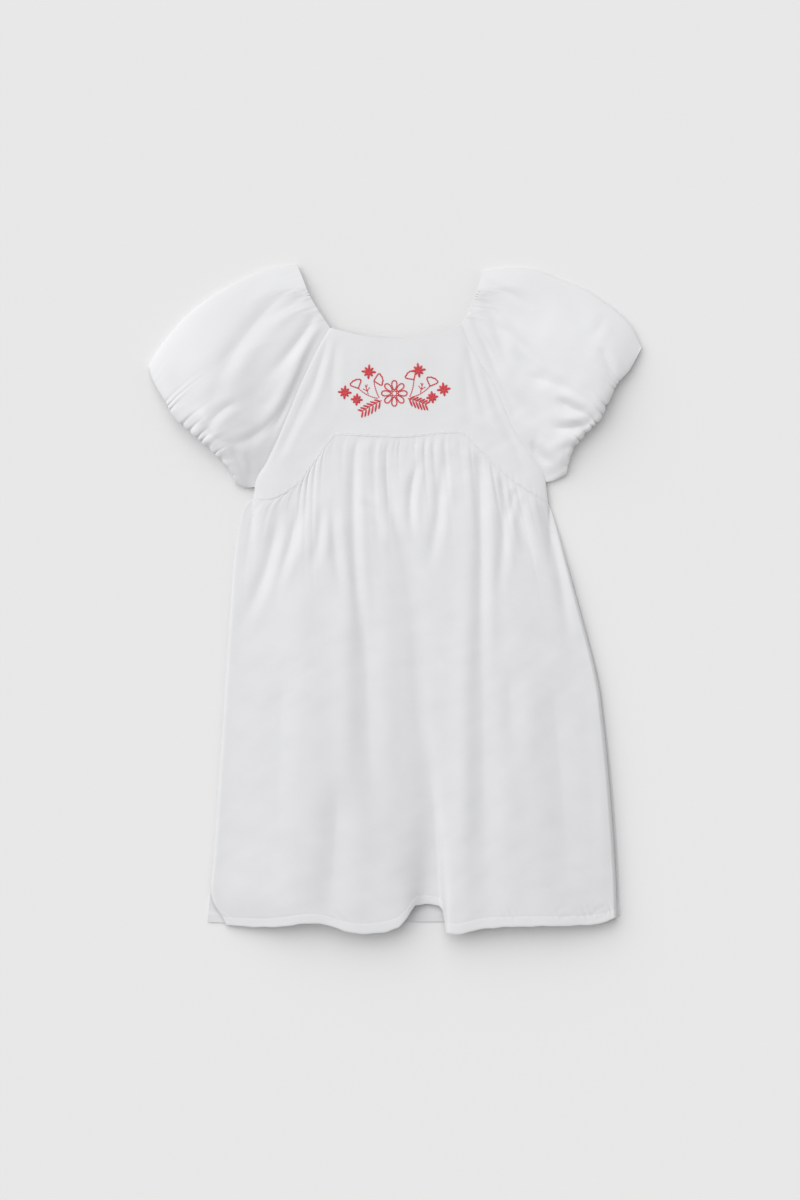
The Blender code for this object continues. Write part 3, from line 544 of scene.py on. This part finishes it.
def hem_puckers(u, fall):
    """Short slanting dimples above and across the stitched hem, strong in a few places."""
    above = HEM_LINE - fall
    phase = 62 * u + 0.05 * above + wander(u, (0.7, 27.0, 0.4), (0.4, 63.0, 2.0))
    size = (0.2 + wander(u, (0.12, 38.0, 1.0), (0.1, 91.0, 0.3))).clip(0, None)
    for place, strength, spread in HEM_DRAGS:
        size = size + strength * np.exp(-((u - place) / spread) ** 2)
    reach = np.where(above > 0, 9.0, 5.0)
    return -size * (1 - np.abs(np.sin(np.pi * phase))) ** 1.5 * np.exp(-(above / reach) ** 2)


def skirt_front(u, v):
    """Points of the front skirt at shares u across and v down."""
    plan = patch(waist_line, lambda s: smooth_line(HEM, s), lambda s: smooth_line(SIDE_LEFT, s),
                 lambda s: smooth_line(SIDE_RIGHT, s), u, v)
    x, y = plan[..., 0], plan[..., 1]
    u, share = u[None, :], v[:, None]
    fall = share * SKIRT_LENGTH
    notch = np.array(HEM_NOTCH, float)
    y = y + np.interp(x, notch[:, 0], notch[:, 1]) * smooth_step(fall, SKIRT_LENGTH - NOTCH_REACH, SKIRT_LENGTH)
    from_side = np.minimum(u, 1 - u) * (x[:, -1:] - x[:, :1] if x.shape[1] > 1 else 360.0)
    rounded = quarter_round(from_side, SIDE_ROUND)
    level = np.interp(share, [0.0, 0.2, 0.6, 1.0], [SEAM_RISE, 13.0, 16.5, HEM_RISE])
    below = smooth_step(share, 0.0, 0.2)
    full = LEFT_FULL + (RIGHT_FULL - LEFT_FULL) * smooth_step(u, 0.3, 0.7)
    z = waist_height(x) * (1 - below) + (REST_HEIGHT + (level - REST_HEIGHT) * folded_side(from_side, full)) * below
    inside = rounded * smooth_step(fall, 0, 14)
    z = z + inside * (SKIRT_DEPTH * fold_relief(x, y, SKIRT_FOLDS) - centre_fold(x, y) + crumple(x, y)) + gathers(u, fall)
    y = y + smooth_step(fall, HEM_LINE, SKIRT_LENGTH) * wander(u, (0.25, 71.0, 0.5), (0.2, 133.0, 1.4))
    turned = smooth_step(fall, HEM_LINE - 0.4, HEM_LINE + 1.2)
    groove = np.exp(-((fall - HEM_LINE) / 0.9) ** 2)
    rolled = smooth_step(fall, SKIRT_LENGTH - 1.2, SKIRT_LENGTH)
    z = np.maximum(z, REST_HEIGHT) + 0.1 * turned - 0.16 * groove - 0.4 * rolled + hem_puckers(u, fall)
    return np.stack([x, y, z], -1)


skirt_columns = clustered(236, (0.0, 0.485, 0.552, 1.0), 0.018, 2.6)
skirt_rows = clustered(206, (0.0, 1.0), 0.045, 2.2)
in_hem = smooth_step(skirt_rows * SKIRT_LENGTH, HEM_LINE - 0.5, HEM_LINE + 0.5)
skirt_front_piece = cloth_piece("skirt_front", skirt_front(skirt_columns, skirt_rows), skirt_cloth,
                                doubled=in_hem)

# %% [markdown]
# The back skirt
#
# It lies flat under the front and shows at the lower left corner, along the lower right edge
# and inside the middle fold. So it is a plain sheet on the surface, with a turned hem.

# %% Shape of the back skirt
def skirt_back(u, v):
    """Points of the back skirt: flat, one wall above the surface, a little higher at its hem."""
    plan = patch(waist_line, lambda s: smooth_line(BACK_HEM, s), lambda s: smooth_line(BACK_SIDE_LEFT, s),
                 lambda s: smooth_line(BACK_SIDE_RIGHT, s), u, v)
    turned = smooth_step(v[:, None] * SKIRT_LENGTH, SKIRT_LENGTH - HEM_DEPTH - 0.8, SKIRT_LENGTH - HEM_DEPTH)
    z = SHELL + (CLOTH - SHELL) * turned * np.ones_like(plan[..., 0])
    return np.concatenate([plan, z[..., None]], -1)


back_rows = clustered(70, (1.0,), 0.03, 6.0)
skirt_back_piece = cloth_piece("skirt_back", skirt_back(np.linspace(0, 1, 80), back_rows), back_cloth)

# %% [markdown]
# The two yokes
#
# The front yoke is the smooth part above the gathers. Its neckline is turned in and stitched,
# and its lower edge is stitched down over the gathers, which pulls small puckers into it.
# The back yoke lies flat under it and doesn't show.

# %% Shape of the yokes
def yoke_left(s):
    """Left edge of a yoke: raglan seam, then side seam."""
    return joined_line(RAGLAN_LEFT, UNDERARM_LEFT, s, UNDERARM_SHARE)


def yoke_right(s):
    """Right edge of a yoke: raglan seam, then side seam."""
    return joined_line(RAGLAN_RIGHT, UNDERARM_RIGHT, s, UNDERARM_SHARE)


def yoke_plan(u, v, dip=0.0, lap=0.0):
    """Plan points of a yoke, its neckline lowered in the middle by dip, its foot lapping the skirt."""
    def neck(s):
        return smooth_line(NECKLINE, s) - np.column_stack([0 * s, dip * 4 * s * (1 - s)])
    def foot(s):
        return smooth_line(WAIST_SEAM, s) - lap * level_side(lambda t: smooth_line(WAIST_SEAM, t), s)
    return patch(neck, foot, yoke_left, yoke_right, u, v)


def yoke_front(u, v):
    """Points of the front yoke: nearly flat, down on the back at the underarms."""
    plan = yoke_plan(u, v, lap=1.0)
    x, y = plan[..., 0], plan[..., 1]
    width = np.linalg.norm(yoke_right(v) - yoke_left(v), axis=1)[:, None]
    u, share = u[None, :], v[:, None]
    edge = np.interp(share, *zip(*RAGLAN_RISE))
    middle = np.interp(share, [0.0, 0.2, 1.0], [NECKLINE_RISE, 9.0, SEAM_RISE])
    rounded = quarter_round(np.minimum(u, 1 - u) * width, SIDE_ROUND)
    z = edge + (middle - edge) * rounded
    z = z + fold_relief(x, y, YOKE_FOLDS) * rounded * (1 - smooth_step(share, 0.85, 1))
    to_seam = smooth_step(share, 0.8, 1.0)
    z = z * (1 - to_seam) + (waist_height(x) + YOKE_STEP * rounded) * to_seam
    above_seam = (1 - share) * 165
    pucker = pleat(46 * u + wander(u, (0.4, 31.0, 0.3), (0.2, 70.0, 1.1)), 1.2)
    z = z + rounded * (0.2 * pucker * np.exp(-(above_seam / 9) ** 2) + crumple(x, y))
    z = z - 0.35 * (1 - smooth_step(above_seam, 0.0, 1.2))
    tucked = (1 - smooth_step(np.minimum(u, 1 - u) * width, 0.0, 2.6)) * (1 - smooth_step(share, 0.84, 0.9))
    x = x + np.where(u < 0.5, -1.5, 1.5) * tucked
    return np.stack([x, y, np.maximum(z, REST_HEIGHT) - 0.6 * tucked], -1)


def yoke_back(u, v):
    """Points of the back yoke, flat on the surface."""
    plan = yoke_plan(u, v, dip=3.0)
    return np.concatenate([plan, np.full(plan.shape[:2] + (1,), SHELL)], -1)


yoke_rows = clustered(120, (0.0, 1.0), 0.05, 1.5)
yoke_front_piece = cloth_piece("yoke_front", yoke_front(clustered(200, (0.0, 1.0), 0.03, 2.0), yoke_rows),
                               yoke_cloth)
yoke_back_piece = cloth_piece("yoke_back", yoke_back(np.linspace(0, 1, 50), np.linspace(0, 1, 40)),
                              back_cloth)

# %% [markdown]
# The puff sleeves
#
# Each sleeve is a wide tube, gathered at the neck edge and at the cuff, so it stands up
# between them. The surface runs round the tube with one share and from the seam to the cuff
# with the other. At the outer end the cloth bellies over and turns back inside to the
# narrow cuff. A plain ring of cloth would look like a pipe, so the long folds that the
# gathers send out are laid on it, with small pleats at both ends.

# %% Shape of a sleeve
def sleeve(shape, side, around, along):
    """Points of a sleeve. side is -1 on the left and 1 on the right; it is not used.

    around holds shares of one turn, the first two thirds over the front from the shoulder
    fold to the underarm fold, the rest back along the surface. along holds shares of the
    ring table from the seam to the cuff.
    """
    def inner(s):
        return joined_line(shape["neck"], shape["raglan"], s, NECK_SHARE)

    front = around <= 2 / 3
    a = np.where(front, around * 1.5, (1 - around) * 3)
    table = np.array(SLEEVE_RINGS, float)
    place = np.linspace(0, 1, len(table))
    dense = smooth_line(np.column_stack([place * 100, 0 * place, table]), along)[:, 2:]
    share, tuck, pinch, high, low = (column[:, None] for column in np.clip(dense, 0, None).T)
    share = np.minimum(share, 1.0)
    plan = patch(inner, lambda s: smooth_line(shape["cuff"], s), lambda s: smooth_line(shape["top"], s),
                 lambda s: smooth_line(shape["lower"], s), a, share[:, 0])
    centre = plan[:, front].mean(axis=1, keepdims=True)
    chord = np.linalg.norm(smooth_line(shape["lower"], share[:, 0]) - smooth_line(shape["top"], share[:, 0]), axis=1)
    plan = centre + (plan - centre) * pinch[..., None] + tuck[..., None] * np.array(shape["inward"])
    a = a[None, :]
    x, y = plan[..., 0], plan[..., 1]
    dome = np.sin(np.pi * a).clip(0, 1) ** (shape["swell"] + (UNDERARM_SWELL - shape["swell"]) * smooth_step(a, 0.45, 0.95))
    down_yoke, rise = np.array(RAGLAN_RISE[:-1]).T
    places = np.concatenate([[0.0, 0.1], NECK_SHARE + (1 - NECK_SHARE) * down_yoke / UNDERARM_SHARE])
    opening = np.interp(a, places, np.concatenate([[SIDE_FOLD, NECK_RISE], rise])) - SIDE_FOLD
    top = SIDE_FOLD + (SLEEVE_PUFF - SIDE_FOLD) * high * dome + opening * (1 - smooth_step(share, 0.0, 0.4))
    window = dome * smooth_step(share, 0.0, 0.08) * (1 - smooth_step(share, 0.93, 1.0))
    pleats, bulge = sleeve_pleats(a, share, dome)
    top = top + (SLEEVE_DEPTH * fold_relief(x, y, shape["folds"]) + 1.7 * crumple(x, y)) * window + pleats
    under = low + (SIDE_FOLD - low) * (1 - quarter_round(np.minimum(a, 1 - a) * chord[:, None], FOLD_ROUND))
    z = np.where(front[None, :], top, under)
    across, up = shape["inward"]
    return np.stack([x - across * bulge, y - up * bulge, z], -1)


def sleeve_pleats(a, share, dome):
    """Heights of short gathers at the free neck edge and wide ones at the cuff, and the cuff's bulge."""
    from_seam, to_cuff = share * 130, (1 - share) * 130
    neck = smooth_step(a, 0.02, 0.08) * (1 - smooth_step(a, 0.18, 0.32))
    phase = 34 * a - 0.06 * from_seam + wander(a, (0.7, 41.0, 0.3), (0.4, 83.0, 1.7))
    size = 0.42 + wander(a, (0.3, 57.0, 0.2), (0.15, 97.0, 1.1))
    reach = 16 + wander(a, (8, 71.0, 0.5), (5, 117.0, 1.2))
    at_neck = neck * size * pleat(phase, 1.6) * np.exp(-(from_seam / reach) ** 2)
    cuff_phase = 10 * a + wander(a, (0.7, 17.0, 1.1), (0.35, 41.0, 0.2))
    cuff_size = (0.75 + wander(a, (0.4, 23.0, 0.9), (0.25, 59.0, 0.6))) * (0.3 + 0.7 * smooth_step(a, 0.2, 0.5))
    cuff_reach = 18 + wander(a, (8, 29.0, 0.4), (5, 67.0, 0.6))
    at_cuff = cuff_size * pleat(cuff_phase, 1.7) * np.exp(-(to_cuff / cuff_reach) ** 2)
    return (at_neck + at_cuff) * dome ** 0.7, (0.4 + smooth_step(a, 0.2, 0.5)) * pleat(cuff_phase, 1.7) * dome * np.exp(-(to_cuff / 7) ** 2)


around = np.linspace(0, 1, 265)[:-1]
along = np.linspace(0, 1, 170)
for name, shape, side in (("sleeve_left", LEFT_SLEEVE, -1), ("sleeve_right", RIGHT_SLEEVE, 1)):
    cloth_piece(name, sleeve(shape, side, around, along), yoke_cloth, closed=True, flip=side > 0)

# %% [markdown]
# Threads
#
# A stitch is a short length of thread that dives into the cloth at both ends. Each one here is
# a small spindle, and a row of them is one joined mesh, made as a single array of points. Its
# ends are dropped onto the cloth with rays from above, so it follows every pucker.

# %% Thread material and stitches on a surface
def thread_material(name, colour):
    """Twisted thread with a slight shine. The twist is bump from slanting bands."""
    material = bpy.data.materials.new(name)
    material.use_nodes = True
    tree = material.node_tree
    shader = tree.nodes["Principled BSDF"]
    along = node(tree, "ShaderNodeUVMap", uv_map="thread").outputs[0]
    twist = node(tree, "ShaderNodeTexWave", (("Vector", along), ("Scale", 0.32)), bands_direction="DIAGONAL")
    bump = node(tree, "ShaderNodeBump", (("Height", twist.outputs["Fac"]), ("Strength", 0.5), ("Distance", 0.00008)))
    tree.links.new(bump.outputs[0], shader.inputs["Normal"])
    shader.inputs["Base Color"].default_value = (*colour, 1.0)
    shader.inputs["Roughness"].default_value = 0.5
    shader.inputs["Sheen Weight"].default_value = 0.2
    return material


def dropped(piece, x, y):
    """Heights in millimetres where rays from above meet a piece of cloth at each x, y."""
    down = (0.0, 0.0, -1.0)
    hits = [piece.ray_cast((float(px) * MM, float(py) * MM, 0.2), down)[1].z for px, py in zip(x, y)]
    return np.array(hits) / MM


SPINDLE = ((0.0, 0.25), (0.12, 0.8), (0.35, 1.0), (0.65, 1.0), (0.88, 0.8), (1.0, 0.25))  # share, radius
SPINDLE_SIDES = 8


def stitch_row(name, stitches, piece, lift, material):
    """One mesh of many stitches. Columns of stitches: start x, y, end x, y, half width."""
    stitches = np.asarray(stitches, float)
    x0, y0, x1, y1, half = stitches.T
    start = np.column_stack([x0, y0, dropped(piece, x0, y0) + lift])
    end = np.column_stack([x1, y1, dropped(piece, x1, y1) + lift])
    along = end - start
    length = np.linalg.norm(along, axis=1, keepdims=True)
    side = np.column_stack([-along[:, 1], along[:, 0], 0 * x0]) / length
    share, radius = np.array(SPINDLE).T
    turn = np.arange(SPINDLE_SIDES) * 2 * np.pi / SPINDLE_SIDES
    across = np.cos(turn)[None, None, :, None] * side[:, None, None, :]
    upward = 0.7 * np.sin(turn)[None, None, :, None] * np.array([0.0, 0.0, 1.0])
    middle = start[:, None, None, :] + share[None, :, None, None] * along[:, None, None, :]
    points = middle + half[:, None, None, None] * radius[None, :, None, None] * (across + upward)
    rings = len(share)
    body = grid_faces(rings, SPINDLE_SIDES, closed=True)[:, ::-1]
    middles = np.stack([start, end], 1)
    count = rings * SPINDLE_SIDES
    first = np.arange(SPINDLE_SIDES)
    after = np.roll(first, -1)
    last = (rings - 1) * SPINDLE_SIDES
    # The ends are fans to one point each, written as quads with that point twice removed
    caps = np.concatenate([np.stack([first[0::2], first[1::2], after[1::2], np.full(4, count)], -1),
                           np.stack([after[1::2] + last, first[1::2] + last, first[0::2] + last, np.full(4, count + 1)], -1)])
    block = np.concatenate([body, caps])
    verts = np.concatenate([points.reshape(len(half), count, 3), middles], axis=1)
    faces = (block[None] + (np.arange(len(half)) * (count + 2))[:, None, None]).reshape(-1, 4)
    uv = np.zeros((len(half), count + 2, 2))
    uv[:, :count, 0] = np.repeat(share[None] * length, SPINDLE_SIDES, axis=1)
    uv[:, :count, 1] = np.tile(turn, rings)[None]
    made = mesh_object(name, verts.reshape(-1, 3), faces, material)
    layer = made.data.uv_layers.new(name="thread")
    layer.data.foreach_set("uv", uv.reshape(-1, 2)[faces.ravel()].astype(np.float32).ravel())
    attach(made, "root")
    print(name, len(half), "stitches")
    return made


def running_stitches(line, pitch, share, half):
    """Stitches along a curve of points: one each pitch, covering a share of it."""
    step = np.append(0, np.cumsum(np.linalg.norm(np.diff(line, axis=0), axis=1)))
    count = max(1, int(round(step[-1] / pitch)))
    starts = (np.arange(count) + (1 - share) / 2) * step[-1] / count
    ends = starts + share * step[-1] / count
    columns = [np.interp(places, step, line[:, i]) for places in (starts, ends) for i in (0, 1)]
    return np.column_stack([*columns, np.full(count, half)])


bpy.context.view_layer.update()
white_thread = thread_material("white_thread", tuple(1.09 * channel for channel in WHITE))
coral_thread = thread_material("coral_thread", (0.62, 0.042, 0.058))

# %% [markdown]
# The waist seam and the hem are sewn with white thread. The waist's row runs close above the
# yoke's lower edge and holds it down on the gathers.

# %% White stitch rows
fine = np.linspace(0.004, 0.996, 600)
above_seam = smooth_line(WAIST_SEAM, fine) + 1.1 * level_side(lambda s: smooth_line(WAIST_SEAM, s), fine)
waist_stitches = stitch_row("waist_stitches", running_stitches(above_seam, 2.4, 0.9, 0.3), yoke_front_piece, 0.02,
                            white_thread)
hem_line = skirt_front(fine, np.array([(HEM_LINE + 0.4) / SKIRT_LENGTH]))[0, :, :2]
hem_stitches = stitch_row("hem_stitches", running_stitches(hem_line, 2.9, 0.7, 0.24), skirt_front_piece, 0.0,
                          white_thread)

# %% [markdown]
# The embroidery
#
# Coral thread on the front yoke: an open daisy in the middle and, on each side of it, three
# eight-pointed blossoms, two scalloped cups on stems, a forked twig and a fern leaf. They are
# ordinary motifs. Each is drawn by a formula at its place in a short table, as running
# stitches for lines and as wide satin stitches for solid shapes. The right side is turned a
# little upwards, because hand-placed sprays are never quite mirrored.

# %% Motifs as stitches
LINE, SATIN = 0.74, 1.25        # half widths of a line of thread and of a satin stitch
DAISY = (-0.7, 205.4)
# Each side from the daisy's centre, x outwards. Blossoms: x, y, size
BLOSSOMS = ((25.5, 21.5, 7.4), (49.5, 1.0, 7.0), (37.5, -6.2, 6.2))
# Cups: foot x, y, direction in degrees, size, then the stem's bend x, y and end x, y
CUPS = ((20.5, 12.5, 168, 9.6, 19.0, 2.0, 15.0, -4.5), (36.0, 5.0, 65, 9.5, 27.0, -3.5, 16.5, -5.0))
TWIG = (26.0, -1.0, 72, 10.0)            # foot x, y, direction, length
FERN = (12.5, -7.0, 33.0, -18.5, 6)      # foot x, y, tip x, y, pairs of leaflets
SECOND = {"cup": 122, "fern": (13.0, -6.0, 31.5, -13.0, 6)}     # what differs on the right side


def ray(x, y, degrees, length):
    """The point at a distance and direction from another."""
    return x + length * np.cos(np.radians(degrees)), y + length * np.sin(np.radians(degrees))


def satin(x, y, degrees, begin, end, half):
    """One wide stitch along a direction from a point, between two distances."""
    return [(*ray(x, y, degrees, begin), *ray(x, y, degrees, end), half)]


def outline(points, pitch=1.9, half=LINE):
    """Close-set stitches along a line of points."""
    return [tuple(row) for row in running_stitches(np.array(points), pitch, 1.0, half)]


def daisy(x, y, petals=8, inner=3.0, outer=12.9, wide=3.2):
    """Open petals round a small ring: each is a drop, narrow at the ring and round outside."""
    made = outline([ray(x, y, turn, 2.5) for turn in np.linspace(0, 360, 25)], 1.5, 0.5)
    middle, half = (inner + outer) / 2, (outer - inner) / 2
    for k in range(petals):
        axis = 90 + k * 360 / petals
        turns = np.linspace(0, 2 * np.pi, 33)
        out, aside = middle + half * np.cos(turns), wide * np.sin(turns) * (0.78 + 0.3 * np.cos(turns))
        px, py = ray(x, y, axis, out)
        made += outline(np.column_stack(ray(px, py, axis + 90, aside)))
    return made


def blossom(x, y, size):
    """Eight satin points round a filled middle, every second one a little shorter."""
    made = []
    for k in range(8):
        made += satin(x, y, k * 45 + 4, -0.4, size * (1.0 if k % 2 == 0 else 0.8), SATIN)
    return made


def cup(x, y, degrees, size):
    """A cup with a scalloped rim, its foot on the stem."""
    share = np.linspace(0, 1, 41)
    turn = degrees + (share - 0.5) * 92
    rim = np.column_stack(ray(x, y, turn, size * (0.86 + 0.14 * np.abs(np.sin(np.pi * 4 * share)))))
    return outline(np.vstack([(x, y), rim, (x, y)]))


def stem(x0, y0, bend_x, bend_y, x1, y1):
    """Running stitches along a bow through three points."""
    t = np.linspace(0, 1, 20)[:, None]
    ends = np.array([(x0, y0), (bend_x, bend_y), (x1, y1)])
    bow = (1 - t) ** 2 * ends[0] + 2 * t * (1 - t) * ends[1] + t ** 2 * ends[2]
    return [tuple(row) for row in running_stitches(bow, 2.2, 0.94, 0.55)]


def fern(x0, y0, x1, y1, pairs):
    """A rib with satin leaflets that lean forward, longer on its lower side and short at the tip."""
    axis = np.degrees(np.arctan2(y1 - y0, x1 - x0))
    made = stem(x0, y0, (x0 + x1) / 2 + 0.6, (y0 + y1) / 2 + 0.9, x1, y1)
    for k in range(pairs):
        share = 0.08 + 0.84 * k / (pairs - 1)
        length = 9.2 * (0.55 + 0.45 * np.sin(np.pi * (0.2 + 0.7 * share)))
        for lean, part in ((-50, 1.0), (42, 0.78)):
            made += satin(x0 + share * (x1 - x0), y0 + share * (y1 - y0), axis + lean, 0.3, part * length, 0.95)
    return made


def twig(x, y, degrees, length):
    """A forked twig: a stem with two low arms and one high one."""
    made = outline([(x, y), ray(x, y, degrees, length)], 2.2, 0.5)
    for place, lean, arm in ((0.35, 52, 4.6), (0.35, -46, 5.0), (0.72, 42, 3.4)):
        fork = ray(x, y, degrees, place * length)
        made += outline([fork, ray(*fork, degrees + lean, arm)], 2.1, 0.5)
    return made


def spray(inner_cup, leaf):
    """All motifs on one side of the daisy. inner_cup is the direction of the cup next to it."""
    made = twig(*TWIG) + fern(*leaf)
    for x, y, size in BLOSSOMS:
        made += blossom(x, y, size)
    for k, (x, y, degrees, size, bend_x, bend_y, end_x, end_y) in enumerate(CUPS):
        made += cup(x, y, inner_cup if k == 0 else degrees, size) + stem(x, y, bend_x, bend_y, end_x, end_y)
    return np.array(made)


def placed(stitches, mirror, degrees):
    """A spray beside the daisy: mirrored or not, then turned about the daisy's centre."""
    x, y = stitches[:, 0:4:2] * mirror, stitches[:, 1:4:2]
    c, s = np.cos(np.radians(degrees)), np.sin(np.radians(degrees))
    turned = stitches.copy()
    turned[:, 0:4:2], turned[:, 1:4:2] = DAISY[0] + c * x - s * y, DAISY[1] + s * x + c * y
    return turned


left_spray = placed(spray(CUPS[0][2], FERN), -1, 0)
right_spray = placed(spray(SECOND["cup"], SECOND["fern"]), 1, 3.5)
motifs = np.concatenate([np.array(daisy(*DAISY)), left_spray, right_spray])
embroidery = stitch_row("embroidery", motifs, yoke_front_piece, 0.12, coral_thread)

# %% [markdown]
# The cloth as it was cut
#
# The skirt pieces were wider before they were gathered, and the sleeves are one piece each,
# folded round.

# %% [markdown]
# Surface and light
#
# The dress lies on a plain pale grey surface. One broad light low at the upper left gives
# the soft shadows to the right and below, and the even sky fills them.

# %% Floor, sun and sky
def plain_material(name, colour, roughness):
    """A plain matt finish."""
    material = bpy.data.materials.new(name)
    material.use_nodes = True
    shader = material.node_tree.nodes["Principled BSDF"]
    shader.inputs["Base Color"].default_value = (*colour, 1.0)
    shader.inputs["Roughness"].default_value = roughness
    shader.inputs["Specular IOR Level"].default_value = 0.0
    return material


FLOOR_HALF = 3000.0
corners = np.array([(-1, -1, 0), (1, -1, 0), (1, 1, 0), (-1, 1, 0)], float) * FLOOR_HALF - (0, 0, 0.2)
floor = mesh_object("floor", corners, np.array([[0, 1, 2, 3]]), plain_material("floor_grey", (0.825, 0.825, 0.825), 0.95))

sun_data = bpy.data.lights.new("broad_light", "SUN")
sun_data.energy, sun_data.angle = 2.32, np.radians(86)
sun = bpy.data.objects.new("broad_light", sun_data)
SUN_FROM = np.array([-0.50, 0.62, 0.82])
sun.rotation_euler = (np.arctan2(np.hypot(SUN_FROM[0], SUN_FROM[1]), SUN_FROM[2]), 0,
                      np.arctan2(SUN_FROM[1], SUN_FROM[0]) + np.pi / 2)
bpy.context.collection.objects.link(sun)

world = bpy.data.worlds.new("sky")
world.use_nodes = True
world.node_tree.nodes["Background"].inputs["Color"].default_value = (1.0, 1.0, 1.0, 1.0)
world.node_tree.nodes["Background"].inputs["Strength"].default_value = 0.446
bpy.context.scene.world = world
bpy.context.scene.view_settings.view_transform = "Standard"
print("floor, one broad light and an even sky")
